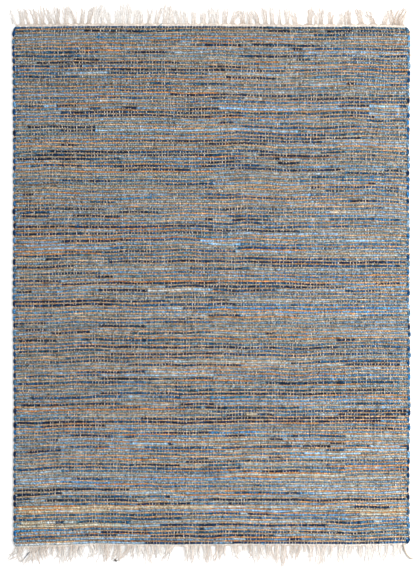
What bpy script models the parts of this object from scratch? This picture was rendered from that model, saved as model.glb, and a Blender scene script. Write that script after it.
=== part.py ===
# Flat-woven rag rug: torn denim strips and jute yarn laid in turn across a cream cotton warp,
# which is woven close at both ends and then left loose as a fringe.
# Metres, +Z up. +X runs across the rug, +Y along it to the far end. The underside lies at Z = 0,
# and the origin is the middle of the footprint, fringes included.

import math
import random

import bpy
import bmesh
import numpy as np

# The woven field. Denim is laid first and last, so it has one pick more than the jute.
FIELD_WIDTH = 1.500
FIELD_LENGTH = 1.960
DENIM_PICKS = 146
JUTE_PICKS = DENIM_PICKS - 1
DENIM_PITCH = 0.0076
JUTE_PITCH = (FIELD_LENGTH - DENIM_PICKS * DENIM_PITCH) / JUTE_PICKS
DENIM_CREST = 0.0090         # thickness of the cloth over a denim pick
JUTE_CREST = 0.0082          # and over a jute pick
VALLEY = 0.0060              # and between two picks
FIELD_SPANS = 5              # divisions across the width
PICKS_PER_BLOCK = 3          # picks over one face of the underside

# Selvedges: the wefts turn here, two pairs of picks to each bulge.
TURN_DEPTH = 0.0030
TURN_PERIOD = 2 * (DENIM_PITCH + JUTE_PITCH)
CORNER_DRAW = 0.009          # how far the corners are drawn in
CORNER_REACH = 0.022         # over this length from each end

# The edges wander: how far each selvedge stands out, at a distance from the far end.
SELVEDGES = (
    dict(station=0.00, left=0.0036, right=0.0024),
    dict(station=0.08, left=0.0034, right=0.0023),
    dict(station=0.20, left=0.0008, right=0.0006),
    dict(station=0.44, left=-0.0002, right=-0.0010),
    dict(station=0.92, left=0.0003, right=-0.0003),
    dict(station=1.04, left=0.0017, right=-0.0006),
    dict(station=1.17, left=0.0000, right=0.0019),
    dict(station=1.41, left=-0.0023, right=0.0023),
    dict(station=1.77, left=-0.0009, right=-0.0015),
    dict(station=1.96, left=-0.0018, right=0.0000),
)

# The ends wander too: how far +Y each end of the field lies at a place across the width.
ENDS = (
    dict(place=-0.75, far=-0.0019, near=-0.0066),
    dict(place=-0.45, far=0.0002, near=0.0026),
    dict(place=-0.15, far=0.0000, near=-0.0014),
    dict(place=0.15, far=-0.0006, near=0.0002),
    dict(place=0.45, far=-0.0020, near=0.0010),
    dict(place=0.75, far=-0.0034, near=0.0046),
)

# Between the ends the picks lie in long shallow waves, which fade out at each end.
WAVES = (
    dict(height=0.0022, length=1.10, shift=0.13, skew=0.6, swap=0.70),
    dict(height=0.0014, length=0.62, shift=0.40, skew=-0.8, swap=1.30),
)
WAVE_FADE = 0.12

# Heading: the strip of close-woven cotton that the fringe is rooted in, one at each end.
HEADING_LEFT = -0.741
HEADING_RIGHT = 0.735
HEADING_DEPTH = 0.007
HEADING_THICKNESS = 0.005
SEAM_GAP = 0.0003

# Fringe: bundles of warp ends, each built as two locks that part from each other.
BUNDLES = 54
EDGE_MARGIN = 0.0095         # from a heading's end to the middle of its first bundle
BUNDLE_SHIFT = 0.0014        # how unevenly the bundles are spaced
LOCK_OFFSET = 0.0040         # from a bundle's middle to a lock's, at the root
LOCK_HALF = 0.0032           # half a lock's width at the root
LEAN_REACH = 0.060           # the leans below are measured this far out
LEAN_CURL = 1.35             # more than 1: straight out of the heading, then bending
SHORTEST_SHARE = 0.82        # the shortest lock's reach, as a share of its place's

# A lock's cross-sections. The last is the tip, at the lock's own reach.
LOCK_SECTIONS = (
    dict(out=0.014, spread=1.20, half=1.25, height=0.0052, crown=0.62),
    dict(out=0.030, spread=1.40, half=1.45, height=0.0046, crown=0.55),
    dict(out=None, spread=1.55, half=0.75, height=0.0026, crown=0.60),
)

# How the fringes lie: at a place across the width, their lean to +X and their reach outwards.
FAR_FRINGE = (
    dict(place=-0.740, lean=-0.022, reach=0.070),
    dict(place=-0.690, lean=-0.008, reach=0.076),
    dict(place=-0.600, lean=-0.010, reach=0.074),
    dict(place=-0.548, lean=0.002, reach=0.080),
    dict(place=-0.515, lean=-0.011, reach=0.076),
    dict(place=-0.460, lean=0.010, reach=0.072),
    dict(place=-0.330, lean=-0.002, reach=0.076),
    dict(place=-0.210, lean=0.008, reach=0.074),
    dict(place=-0.150, lean=-0.012, reach=0.080),
    dict(place=-0.030, lean=-0.016, reach=0.072),
    dict(place=0.060, lean=0.008, reach=0.070),
    dict(place=0.150, lean=-0.014, reach=0.072),
    dict(place=0.280, lean=0.003, reach=0.078),
    dict(place=0.370, lean=0.004, reach=0.072),
    dict(place=0.450, lean=-0.008, reach=0.078),
    dict(place=0.570, lean=-0.014, reach=0.070),
    dict(place=0.640, lean=-0.002, reach=0.066),
    dict(place=0.735, lean=0.024, reach=0.068),
)
NEAR_FRINGE = (
    dict(place=-0.740, lean=-0.050, reach=0.050),
    dict(place=-0.705, lean=-0.040, reach=0.060),
    dict(place=-0.666, lean=-0.042, reach=0.056),
    dict(place=-0.624, lean=-0.040, reach=0.064),
    dict(place=-0.575, lean=-0.006, reach=0.056),
    dict(place=-0.515, lean=-0.022, reach=0.068),
    dict(place=-0.450, lean=-0.002, reach=0.054),
    dict(place=-0.415, lean=0.002, reach=0.068),
    dict(place=-0.365, lean=-0.014, reach=0.074),
    dict(place=-0.307, lean=-0.032, reach=0.060),
    dict(place=-0.250, lean=-0.020, reach=0.056),
    dict(place=-0.163, lean=-0.022, reach=0.062),
    dict(place=-0.080, lean=0.003, reach=0.068),
    dict(place=0.045, lean=-0.018, reach=0.056),
    dict(place=0.192, lean=0.024, reach=0.068),
    dict(place=0.271, lean=0.006, reach=0.076),
    dict(place=0.347, lean=-0.012, reach=0.060),
    dict(place=0.468, lean=-0.014, reach=0.072),
    dict(place=0.608, lean=0.000, reach=0.078),
    dict(place=0.695, lean=0.002, reach=0.066),
    dict(place=0.735, lean=0.030, reach=0.058),
)


def clear_objects():
    for thing in list(bpy.data.objects):
        bpy.data.objects.remove(thing, do_unlink=True)


def make_finish(name, colour, roughness):
    finish = bpy.data.materials.new(name)
    finish.use_nodes = True
    shader = finish.node_tree.nodes["Principled BSDF"]
    shader.inputs["Base Color"].default_value = (*colour, 1.0)
    shader.inputs["Roughness"].default_value = roughness
    shader.inputs["Metallic"].default_value = 0.0
    return finish


def add_object(name, bm, finish):
    bmesh.ops.recalc_face_normals(bm, faces=bm.faces)
    mesh = bpy.data.meshes.new(name)
    bm.to_mesh(mesh)
    bm.free()
    mesh.materials.append(finish)
    thing = bpy.data.objects.new(name, mesh)
    bpy.context.scene.collection.objects.link(thing)
    return thing


def read_table(table, at, column, where):
    stations = [row[at] for row in table]
    return float(np.interp(where, stations, [row[column] for row in table]))


def smooth_step(share):
    share = min(max(share, 0.0), 1.0)
    return share * share * (3 - 2 * share)


def pick_rows():
    """The field's rows from the near end to the far one, as (distance, thickness)."""
    rows = [(0.0, VALLEY)]
    reached = 0.0
    for pick in range(DENIM_PICKS + JUTE_PICKS):
        denim = pick % 2 == 0
        pitch = DENIM_PITCH if denim else JUTE_PITCH
        rows.append((reached + pitch / 2, DENIM_CREST if denim else JUTE_CREST))
        reached += pitch
        rows.append((reached, VALLEY))
    return rows


def edge_place(side, distance):
    """Where a selvedge's plain line lies: side is -1 on the left and 1 on the right."""
    column = "left" if side < 0 else "right"
    out = read_table(SELVEDGES, "station", column, FIELD_LENGTH - distance)
    from_end = min(distance, FIELD_LENGTH - distance)
    draw = CORNER_DRAW * (1 - smooth_step(from_end / CORNER_REACH))
    return side * (FIELD_WIDTH / 2 + out - draw)


def turn_bulge(side, distance):
    """How far the turning wefts stand out there. The two selvedges take turns."""
    turn = distance / TURN_PERIOD + (0.5 if side < 0 else 0.0)
    return side * TURN_DEPTH * (0.5 - 0.5 * math.cos(2 * math.pi * turn))


def pick_drift(place, distance):
    """How far +Y a pick is off its straight line."""
    share = distance / FIELD_LENGTH
    far = read_table(ENDS, "place", "far", place)
    near = read_table(ENDS, "place", "near", place)
    drift = near + (far - near) * smooth_step(share)
    from_end = min(distance, FIELD_LENGTH - distance)
    fade = smooth_step(from_end / WAVE_FADE)
    for wave in WAVES:
        across = place / wave["length"] + wave["shift"] + wave["skew"] * distance
        along = distance / wave["swap"]
        drift += fade * wave["height"] * math.sin(2 * math.pi * across) * math.cos(2 * math.pi * along)
    return drift


def field_point(across, distance, height, turning):
    """across runs from 0 on the left to 1 on the right."""
    left = edge_place(-1, distance)
    right = edge_place(1, distance)
    if turning:
        left += turn_bulge(-1, distance)
        right += turn_bulge(1, distance)
    place = (across - 0.5) * FIELD_WIDTH
    x = left + (right - left) * across
    return (x, distance - FIELD_LENGTH / 2 + pick_drift(place, distance), height)


def lay_grid(bm, rows, turning):
    """A sheet of faces over the rows. It gives back the points, row by row."""
    grid = bmesh.ops.create_grid(bm, x_segments=FIELD_SPANS, y_segments=len(rows) - 1, size=0.5)
    lines = [[None] * (FIELD_SPANS + 1) for _ in rows]
    for vert in grid["verts"]:
        column = round((vert.co.x + 0.5) * FIELD_SPANS)
        row = round((vert.co.y + 0.5) * (len(rows) - 1))
        distance, height = rows[row]
        vert.co = field_point(column / FIELD_SPANS, distance, height, turning)
        lines[row][column] = vert
    return lines


def build_field(finish):
    rows = pick_rows()
    step = 2 * PICKS_PER_BLOCK
    bm = bmesh.new()
    top = lay_grid(bm, rows, turning=True)
    base = lay_grid(bm, [(distance, 0.0) for distance, _ in rows[::step]], turning=False)
    for column in (0, FIELD_SPANS):          # the two selvedges
        for block in range(len(base) - 1):
            upper = [line[column] for line in top[block * step:(block + 1) * step + 1]]
            bm.faces.new([base[block + 1][column], base[block][column], *upper])
    for upper, lower in ((top[0], base[0]), (top[-1], base[-1])):      # the two ends
        for span in range(FIELD_SPANS):
            bm.faces.new([lower[span], lower[span + 1], upper[span + 1], upper[span]])
    return add_object("rug_field", bm, finish)


def end_line(outward, place):
    """The Y of the field's end wall at an X, straight between the wall's corners."""
    distance = FIELD_LENGTH if outward > 0 else 0.0
    corners = [field_point(column / FIELD_SPANS, distance, 0.0, False) for column in range(FIELD_SPANS + 1)]
    return float(np.interp(place, [corner[0] for corner in corners], [corner[1] for corner in corners]))


def plan_locks(table, seed):
    """Each lock's bundle middle, its offset from it and its reach, from left to right."""
    rng = random.Random(seed)
    first = HEADING_LEFT + EDGE_MARGIN
    pitch = (HEADING_RIGHT - EDGE_MARGIN - first) / (BUNDLES - 1)
    locks = []
    for bundle in range(BUNDLES):
        middle = first + bundle * pitch + rng.uniform(-BUNDLE_SHIFT, BUNDLE_SHIFT)
        for offset in (-LOCK_OFFSET, LOCK_OFFSET):
            reach = read_table(table, "place", "reach", middle) * rng.uniform(SHORTEST_SHARE, 1.0)
            locks.append(dict(middle=middle, offset=offset, reach=reach))
    return locks


def comb(table, place, out):
    """Where a thread rooted at a place lies when it has gone that far out. Threads never cross."""
    return place + read_table(table, "place", "lean", place) * (out / LEAN_REACH) ** LEAN_CURL


def grow_lock(bm, face, lock, table, outward):
    """Draws a lock out of its face on the heading, one cross-section at a time."""
    last = LOCK_SECTIONS[-2]
    for section in LOCK_SECTIONS:
        face = bmesh.ops.extrude_discrete_faces(bm, faces=[face])["faces"][0]
        out = section["out"] or lock["reach"]
        corners = sorted(face.verts, key=lambda vert: (round(vert.co.z, 5), vert.co.x))
        for index, vert in enumerate(corners):
            side = 1 if index % 2 else -1
            raised = index > 1
            half = LOCK_HALF * section["half"] * (section["crown"] if raised else 1.0)
            place = lock["middle"] + lock["offset"] * section["spread"] + side * half
            x = comb(table, place, out)
            if section["out"] is None:       # the tip goes on from the section before it
                share = (out - last["out"]) / (LEAN_REACH - last["out"])
                before = comb(table, place, last["out"])
                x = before + (comb(table, place, LEAN_REACH) - before) * share
            root = end_line(outward, lock["middle"]) + outward * (SEAM_GAP + HEADING_DEPTH)
            vert.co = (x, root + outward * out, section["height"] if raised else 0.0)


def build_fringe(name, outward, table, seed, finish):
    """outward is 1 at the far end and -1 at the near end."""
    locks = plan_locks(table, seed)
    stations = [HEADING_LEFT]
    for lock in locks:
        root = lock["middle"] + lock["offset"]
        stations += [root - LOCK_HALF, root + LOCK_HALF]
    stations.append(HEADING_RIGHT)
    bm = bmesh.new()
    spans = len(stations) - 1
    grid = bmesh.ops.create_grid(bm, x_segments=spans, y_segments=1, size=0.5)
    for vert in grid["verts"]:
        place = stations[round((vert.co.x + 0.5) * spans)]
        depth = SEAM_GAP + (HEADING_DEPTH if vert.co.y * outward > 0 else 0.0)
        vert.co = (place, end_line(outward, place) + outward * depth, 0.0)
    raised = bmesh.ops.extrude_face_region(bm, geom=bm.faces[:])["geom"]
    bmesh.ops.translate(bm, verts=[item for item in raised if isinstance(item, bmesh.types.BMVert)],
                        vec=(0, 0, HEADING_THICKNESS))
    bmesh.ops.recalc_face_normals(bm, faces=bm.faces)
    bm.normal_update()
    outer = [face for face in bm.faces if face.normal.y * outward > 0.9]
    outer.sort(key=lambda face: face.calc_center_median().x)
    for lock, face in zip(locks, outer[1::2]):
        grow_lock(bm, face, lock, table, outward)
    return add_object(name, bm, finish)


def centre_on_footprint(things):
    """Moves the pieces together so that the origin is the middle of what they cover."""
    points = np.array([vert.co for thing in things for vert in thing.data.vertices])
    middle = (points.min(axis=0) + points.max(axis=0)) / 2
    for thing in things:
        thing.location = (-middle[0], -middle[1], 0.0)


clear_objects()
woven = make_finish("denim_and_jute", (0.25, 0.24, 0.23), 0.95)
cotton = make_finish("cotton_warp", (0.82, 0.77, 0.70), 0.95)
centre_on_footprint([
    build_field(woven),
    build_fringe("fringe_far", 1, FAR_FRINGE, 11, cotton),
    build_fringe("fringe_near", -1, NEAR_FRINGE, 12, cotton),
])
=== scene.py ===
# Rag rug laid flat: denim strips and jute woven in turn across cream cotton warp, fringed at both ends.
import math
import random

import bpy
import bmesh
import numpy as np
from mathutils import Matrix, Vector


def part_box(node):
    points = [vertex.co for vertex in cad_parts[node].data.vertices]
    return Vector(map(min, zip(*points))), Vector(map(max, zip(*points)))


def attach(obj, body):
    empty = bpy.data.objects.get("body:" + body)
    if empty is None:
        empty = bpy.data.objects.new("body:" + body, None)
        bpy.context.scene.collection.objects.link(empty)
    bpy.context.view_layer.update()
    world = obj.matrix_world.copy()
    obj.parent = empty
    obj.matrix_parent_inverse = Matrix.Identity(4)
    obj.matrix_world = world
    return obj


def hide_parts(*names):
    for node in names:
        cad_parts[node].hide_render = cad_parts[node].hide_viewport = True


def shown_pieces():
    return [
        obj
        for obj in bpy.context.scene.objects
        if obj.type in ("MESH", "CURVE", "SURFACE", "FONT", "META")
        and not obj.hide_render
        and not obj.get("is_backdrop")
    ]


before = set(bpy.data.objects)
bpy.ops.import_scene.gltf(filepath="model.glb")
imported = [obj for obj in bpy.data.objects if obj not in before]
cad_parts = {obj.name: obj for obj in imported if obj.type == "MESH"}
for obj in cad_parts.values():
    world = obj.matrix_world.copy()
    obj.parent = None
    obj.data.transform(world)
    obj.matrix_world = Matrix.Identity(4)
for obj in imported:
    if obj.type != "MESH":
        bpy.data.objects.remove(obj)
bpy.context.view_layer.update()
fieldLow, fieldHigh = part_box("rug_field")
print("frame loaded")

# Shared layout. Distances run from the near end of the field, places across it from its middle.
rug = {
    "width": 1.500,
    "length": 1.960,
    "denimPicks": 146,
    "denimPitch": 0.0076,
    "warps": 258,
    "turnRoom": 0.0115,        # from a selvedge to its first warp
    "middleHeight": 0.0046,    # of the cloth, half way through it
    "headingDepth": 0.008,
    "seamGap": 0.0003,
    "floorGap": 0.0004,        # left under the lowest yarn
    "cornerHang": 0.0032,      # how much lower the near end's left corner hangs
    "warpJitter": 0.0009,      # how far the warps stand off their even places
}
rug["jutePicks"] = rug["denimPicks"] - 1
rug["jutePitch"] = (rug["length"] - rug["denimPicks"] * rug["denimPitch"]) / rug["jutePicks"]
rug["pairPitch"] = rug["denimPitch"] + rug["jutePitch"]
rug["middleX"] = (fieldLow.x + fieldHigh.x) / 2
rug["middleY"] = (fieldLow.y + fieldHigh.y) / 2 + rug["cornerHang"]

# How far each selvedge stands out, by the distance from the far end.
selvedges = {
    "station": (0.00, 0.08, 0.20, 0.44, 0.92, 1.04, 1.17, 1.41, 1.77, 1.96),
    "left": (0.0036, 0.0034, 0.0008, -0.0002, 0.0003, 0.0017, 0.0000, -0.0023, -0.0009, -0.0018),
    "right": (0.0024, 0.0023, 0.0006, -0.0010, -0.0003, -0.0006, 0.0019, 0.0023, -0.0015, 0.0000),
    "cornerDraw": {"far": (0.0095, 0.0060), "near": (0.0035, 0.0045)},      # left and right
    "cornerReach": 0.024,
}

# How far +Y each end of the field lies, by the place across it, and the long waves between.
ends = {
    "place": (-0.75, -0.60, -0.45, -0.30, -0.15, 0.00, 0.15, 0.30, 0.45, 0.60, 0.75),
    "far": (-0.0037, -0.0018, -0.0009, 0.0001, -0.0004, -0.0006, -0.0016, -0.0043, -0.0038, -0.0029, -0.0074),
    "near": (-0.0066, -0.0020, 0.0046, 0.0022, 0.0004, 0.0022, 0.0035, 0.0022, 0.0016, 0.0028, 0.0066),
}
waves = (
    {"height": 0.0022, "length": 1.10, "shift": 0.13, "skew": 0.6, "swap": 0.70},
    {"height": 0.0014, "length": 0.62, "shift": 0.40, "skew": -0.8, "swap": 1.30},
)
waveFade = 0.12
pulls = (                          # where the rows dip towards the near end
    {"place": -0.735, "fromFar": 0.049, "height": -0.0080, "across": 0.085, "along": 0.022},
    {"place": 0.524, "fromFar": 1.898, "height": -0.0055, "across": 0.075, "along": 0.050},
)
ripples = {"count": 14, "height": 0.00020, "shortest": 0.09, "longest": 0.42, "atEnds": 0.35, "seed": 5}


def smoothStep(share):
    share = np.clip(share, 0, 1)
    return share * share * (3 - 2 * share)


def edgeAt(side, distance):       # side is -1 on the left and 1 on the right
    column = selvedges["left"] if side < 0 else selvedges["right"]
    out = np.interp(rug["length"] - distance, selvedges["station"], column)
    for end, fromEnd in (("near", distance), ("far", rug["length"] - distance)):
        draw = selvedges["cornerDraw"][end][0 if side < 0 else 1]
        out = out - draw * (1 - smoothStep(fromEnd / selvedges["cornerReach"]))
    return side * (rug["width"] / 2 + out)


def makeRipples():
    rng = random.Random(ripples["seed"])
    rows = []
    for _ in range(ripples["count"]):
        length = ripples["shortest"] * (ripples["longest"] / ripples["shortest"]) ** rng.random()
        rows.append((2 * math.pi / length, rng.uniform(-9, 9), rng.uniform(0, 2 * math.pi),
                     ripples["height"] * (length / ripples["longest"]) ** 0.5 * 1.6))
    return rows


rippleRows = makeRipples()


def driftAt(place, distance):     # how far +Y a pick lies off its straight line
    share = smoothStep(distance / rug["length"])
    far = np.interp(place, ends["place"], ends["far"])
    near = np.interp(place, ends["place"], ends["near"])
    drift = near + (far - near) * share
    fromEnd = np.minimum(distance, rug["length"] - distance)
    fade = smoothStep(fromEnd / waveFade)
    for wave in waves:
        across = place / wave["length"] + wave["shift"] + wave["skew"] * distance
        swing = fade * wave["height"] * np.sin(2 * math.pi * across)
        drift = drift + swing * np.cos(2 * math.pi * distance / wave["swap"])
    for pull in pulls:
        across = (place - pull["place"]) / pull["across"]
        along = (rug["length"] - distance - pull["fromFar"]) / pull["along"]
        drift = drift + pull["height"] * np.exp(-across ** 2 - along ** 2)
    atEnds = ripples["atEnds"]
    for across, along, shift, height in rippleRows:
        ripple = np.sin(across * place + along * distance + shift)
        drift = drift + (atEnds + (1 - atEnds) * fade) * height * ripple
    return drift


def pickDistance(kind, pick):     # from the near end to a pick's middle
    if kind == "denim":
        return pick * rug["pairPitch"] + rug["denimPitch"] / 2
    return pick * rug["pairPitch"] + rug["denimPitch"] + rug["jutePitch"] / 2


warpJitter = rug["warpJitter"] * np.random.default_rng(31).normal(size=rug["warps"]).clip(-1.6, 1.6)


def warpPlace(warp, distance):    # across the rug, at a distance
    left = edgeAt(-1, distance) + rug["turnRoom"]
    right = edgeAt(1, distance) - rug["turnRoom"]
    return left + (right - left) * (np.asarray(warp) / (rug["warps"] - 1)) + warpJitter[warp]


def linearColour(screen):         # from screen values of 0 to 255
    share = np.asarray(screen, float) / 255
    return np.where(share <= 0.04045, share / 12.92, ((share + 0.055) / 1.055) ** 2.4)


def toFrame(rows):                # from the rug's own layout to the shared frame
    rows = np.array(rows, float)
    rows[:, 0] += rug["middleX"]
    rows[:, 1] += rug["middleY"] - rug["length"] / 2
    return rows


# Camera, floor and light.

view = {
    "frameWidth": 416, "frameHeight": 567,        # pixels
    "pixel": 0.003778,                            # metres to a pixel, at the cloth
    "fieldLeft": 12.9, "fieldRight": 409.9, "fieldTop": 25.9, "fieldBottom": 544.4,
    "height": 6.5, "clothTop": 0.008,
    "sensor": 24.0,
}


def columnPlace(column):          # from the photo's columns to places across the rug
    return (np.asarray(column, float) - (view["fieldLeft"] + view["fieldRight"]) / 2) * view["pixel"]


def addCamera():
    offX = view["frameWidth"] / 2 - (view["fieldLeft"] + view["fieldRight"]) / 2
    offY = view["frameHeight"] / 2 - (view["fieldTop"] + view["fieldBottom"]) / 2
    centreX = rug["middleX"] + offX * view["pixel"]
    centreY = rug["middleY"] - offY * view["pixel"]
    data = bpy.data.cameras.new("camera")
    data.sensor_fit = "VERTICAL"
    data.sensor_height = view["sensor"]
    data.lens = view["sensor"] * (view["height"] - view["clothTop"]) / (view["frameHeight"] * view["pixel"])
    camera = bpy.data.objects.new("camera", data)
    bpy.context.scene.collection.objects.link(camera)
    camera.location = (centreX, centreY, view["height"])
    bpy.context.scene.camera = camera


studio = {
    "floorSize": 14.0, "floorTone": (0.93, 0.93, 0.93),
    "skyTone": (1.0, 1.0, 1.0), "skyStrength": 0.77,
    "lamps": (
        {"at": (2.6, 0.3, 2.3), "size": 1.6, "power": 152.0},
        {"at": (-1.4, 1.7, 3.4), "size": 2.6, "power": 38.0},
    ),
}


def addStudio():
    bm = bmesh.new()
    bmesh.ops.create_grid(bm, x_segments=1, y_segments=1, size=studio["floorSize"] / 2)
    mesh = bpy.data.meshes.new("floor")
    bm.to_mesh(mesh)
    bm.free()
    floor = bpy.data.objects.new("floor", mesh)
    bpy.context.scene.collection.objects.link(floor)
    finish = bpy.data.materials.new("paleFloor")
    finish.use_nodes = True
    shader = finish.node_tree.nodes["Principled BSDF"]
    shader.inputs["Base Color"].default_value = (*studio["floorTone"], 1)
    shader.inputs["Roughness"].default_value = 0.9
    shader.inputs["Specular IOR Level"].default_value = 0.1
    mesh.materials.append(finish)
    floor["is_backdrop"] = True
    world = bpy.data.worlds.new("softSky")
    world.use_nodes = True
    sky = world.node_tree.nodes["Background"]
    sky.inputs["Color"].default_value = (*studio["skyTone"], 1)
    sky.inputs["Strength"].default_value = studio["skyStrength"]
    bpy.context.scene.world = world
    for number, lamp in enumerate(studio["lamps"]):
        data = bpy.data.lights.new(f"softbox{number}", "AREA")
        data.shape = "SQUARE"
        data.size = lamp["size"]
        data.energy = lamp["power"]
        box = bpy.data.objects.new(f"softbox{number}", data)
        bpy.context.scene.collection.objects.link(box)
        box.location = lamp["at"]
        aim = -box.location.normalized()
        box.rotation_euler = aim.to_track_quat("-Z", "Y").to_euler()
    bpy.context.scene.view_settings.view_transform = "Standard"


addCamera()
addStudio()
print("camera, floor and light set")


# Yarn: one curve of many runs, turned into a mesh.

def crossSection(name, corners):
    data = bpy.data.curves.new(name, "CURVE")
    data.dimensions = "2D"
    spline = data.splines.new("POLY")
    spline.points.add(len(corners) - 1)
    for point, (x, y) in zip(spline.points, corners):
        point.co = (x, y, 0, 1)
    spline.use_cyclic_u = len(corners) > 2
    section = bpy.data.objects.new(name, data)
    bpy.context.scene.collection.objects.link(section)
    return section


def yarnMesh(name, runs, corners):
    # runs is a list of (points, radii); each point gets one ring of the cross-section's corners
    section = crossSection(name + "Section", corners)
    data = bpy.data.curves.new(name, "CURVE")
    data.dimensions = "3D"
    data.twist_mode = "Z_UP"
    data.bevel_mode = "OBJECT"
    data.bevel_object = section
    for points, radii in runs:
        spline = data.splines.new("POLY")
        spline.points.add(len(points) - 1)
        spline.points.foreach_set("co", np.c_[points, np.ones(len(points))].ravel())
        spline.points.foreach_set("radius", radii)
    strand = bpy.data.objects.new(name, data)
    bpy.context.scene.collection.objects.link(strand)
    graph = bpy.context.evaluated_depsgraph_get()
    mesh = bpy.data.meshes.new_from_object(strand.evaluated_get(graph))
    mesh.name = name
    for thing in (strand, section):
        bpy.data.objects.remove(thing)
    if len(corners) > 2:
        bm = bmesh.new()
        bm.from_mesh(mesh)
        openEdges = [edge for edge in bm.edges if edge.is_boundary]
        bmesh.ops.holes_fill(bm, edges=openEdges, sides=len(corners))
        bm.to_mesh(mesh)
        bm.free()
    piece = bpy.data.objects.new(name, mesh)
    bpy.context.scene.collection.objects.link(piece)
    mesh.shade_smooth()
    return piece


def ringColours(piece, colours, ring, shades=None):
    # colours has one row for each ring, and shades has a row too, with a value for each of the ring's
    # corners:
    # the painted light and shade that each corner's colour is multiplied by
    rows = np.repeat(np.asarray(colours, np.float32), ring, axis=0)
    if shades is not None:
        rows *= np.asarray(shades, np.float32).reshape(-1, 1)
    layer = piece.data.color_attributes.new("strandTone", "FLOAT_COLOR", "POINT")
    layer.data.foreach_set("color", np.c_[rows, np.ones(len(rows))].astype(np.float32).ravel())


def ringMap(piece, ring, lines, starts, stops, lineCount):
    # lines, starts and stops say where each step between two rings lies on the map
    mesh = piece.data
    counts = np.zeros(len(mesh.polygons), int)
    mesh.polygons.foreach_get("loop_total", counts)
    corners = np.zeros(len(mesh.loops), int)
    mesh.loops.foreach_get("vertex_index", corners)
    face = np.repeat(np.arange(len(counts)), counts)
    at, side = corners // ring, corners % ring
    first = np.full(len(counts), len(mesh.vertices))
    np.minimum.at(first, face, at)
    low = np.full(len(counts), ring)
    high = np.zeros(len(counts), int)
    np.minimum.at(low, face, side)
    np.maximum.at(high, face, side)
    wraps = (low == 0) & (high == ring - 1) & (ring > 2)
    side = np.where(wraps[face] & (side == 0), ring, side)
    step = first[face]
    along = np.where(at > step, stops[step], starts[step])
    up = (lines[step] + (side + 0.04) / (ring + 0.08)) / lineCount
    layer = mesh.uv_layers.new(name="OFBake")
    layer.data.foreach_set("uv", np.c_[along, up].astype(np.float32).ravel())


def mapStrands(piece, ring, strands, rings):
    # strands with as many rings each lie side by side on the map
    along = np.linspace(0.01, 0.99, rings)
    ahead = np.append(along[1:], along[-1])
    ringMap(piece, ring, np.repeat(np.arange(strands), rings), np.tile(along, strands),
            np.tile(ahead, strands), strands)


# Finishes.

def addNode(tree, kind, **values):
    node = tree.nodes.new(kind)
    for key, value in values.items():
        setattr(node, key, value)
    return node


def addRange(tree, source, fromRange, toRange):
    node = addNode(tree, "ShaderNodeMapRange")
    for name, value in zip(("From Min", "From Max", "To Min", "To Max"), (*fromRange, *toRange)):
        node.inputs[name].default_value = value
    tree.links.new(source, node.inputs["Value"])
    return node.outputs["Result"]


def addPlies(tree, place, look, amount):
    # painted shade: the dark lines in the grooves between the plies of a twisted yarn
    slant = addNode(tree, "ShaderNodeMapping")
    slant.inputs["Rotation"].default_value = (0, 0, -math.radians(look["plySlant"]))
    tree.links.new(place.outputs["Object"], slant.inputs["Vector"])
    plies = addNode(tree, "ShaderNodeTexWave", wave_type="BANDS", bands_direction="X")
    plies.inputs["Scale"].default_value = 0.314 / (look["ply"] * math.cos(math.radians(look["plySlant"])))
    plies.inputs["Distortion"].default_value = 2.0
    plies.inputs["Detail"].default_value = 2.0
    plies.inputs["Detail Scale"].default_value = 1.5
    tree.links.new(slant.outputs["Vector"], plies.inputs["Vector"])
    grooves = addRange(tree, plies.outputs["Fac"], (0.10, 0.60), (look["plyGrooveShade"], 1.06))
    both = addNode(tree, "ShaderNodeMath", operation="MULTIPLY")
    tree.links.new(amount, both.inputs[0])
    tree.links.new(grooves, both.inputs[1])
    return both.outputs["Value"]


def strandFinish(name, look):
    # colour from the strands' own tone, mottled along them, with a fine bump of fibres
    finish = bpy.data.materials.new(name)
    finish.use_nodes = True
    tree = finish.node_tree
    link = tree.links.new
    shader = tree.nodes["Principled BSDF"]
    tone = addNode(tree, "ShaderNodeAttribute", attribute_name="strandTone")
    place = addNode(tree, "ShaderNodeTexCoord")
    stretch = addNode(tree, "ShaderNodeMapping")
    stretch.inputs["Scale"].default_value = look["stretch"]
    stretch.inputs["Location"].default_value = look["shift"]
    link(place.outputs["Object"], stretch.inputs["Vector"])
    flecks = addNode(tree, "ShaderNodeTexNoise")        # the worn dye, fleck by fleck along the strand
    flecks.inputs["Scale"].default_value = look["flecks"]
    flecks.inputs["Detail"].default_value = 0.0
    link(stretch.outputs["Vector"], flecks.inputs["Vector"])
    spread = addRange(tree, flecks.outputs["Fac"], (0.36, 0.64), (look["dark"] - 1, look["light"] - 1))
    level = addNode(tree, "ShaderNodeRGBToBW")          # pale dye is more even than dark
    link(tone.outputs["Color"], level.inputs["Color"])
    calm = addRange(tree, level.outputs["Val"], (0.12, 0.45), (1.0, look["calm"]))
    fleck = addNode(tree, "ShaderNodeMath", operation="MULTIPLY_ADD")
    link(spread, fleck.inputs[0])
    link(calm, fleck.inputs[1])
    fleck.inputs[2].default_value = 1.0
    amount = fleck.outputs["Value"]
    if "ply" in look:
        amount = addPlies(tree, place, look, amount)
    shade = addNode(tree, "ShaderNodeVectorMath", operation="SCALE")
    link(tone.outputs["Color"], shade.inputs[0])
    link(amount, shade.inputs["Scale"])
    link(shade.outputs["Vector"], shader.inputs["Base Color"])
    fibre = addNode(tree, "ShaderNodeTexNoise")
    fibre.inputs["Scale"].default_value = look["fibreScale"]
    fibre.inputs["Detail"].default_value = 3.0
    link(stretch.outputs["Vector"], fibre.inputs["Vector"])
    bump = addNode(tree, "ShaderNodeBump")
    bump.inputs["Strength"].default_value = look["bump"]
    bump.inputs["Distance"].default_value = 0.0012
    link(fibre.outputs["Fac"], bump.inputs["Height"])
    link(bump.outputs["Normal"], shader.inputs["Normal"])
    shader.inputs["Roughness"].default_value = look["roughness"]
    shader.inputs["Specular IOR Level"].default_value = 0.2
    return finish


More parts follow.
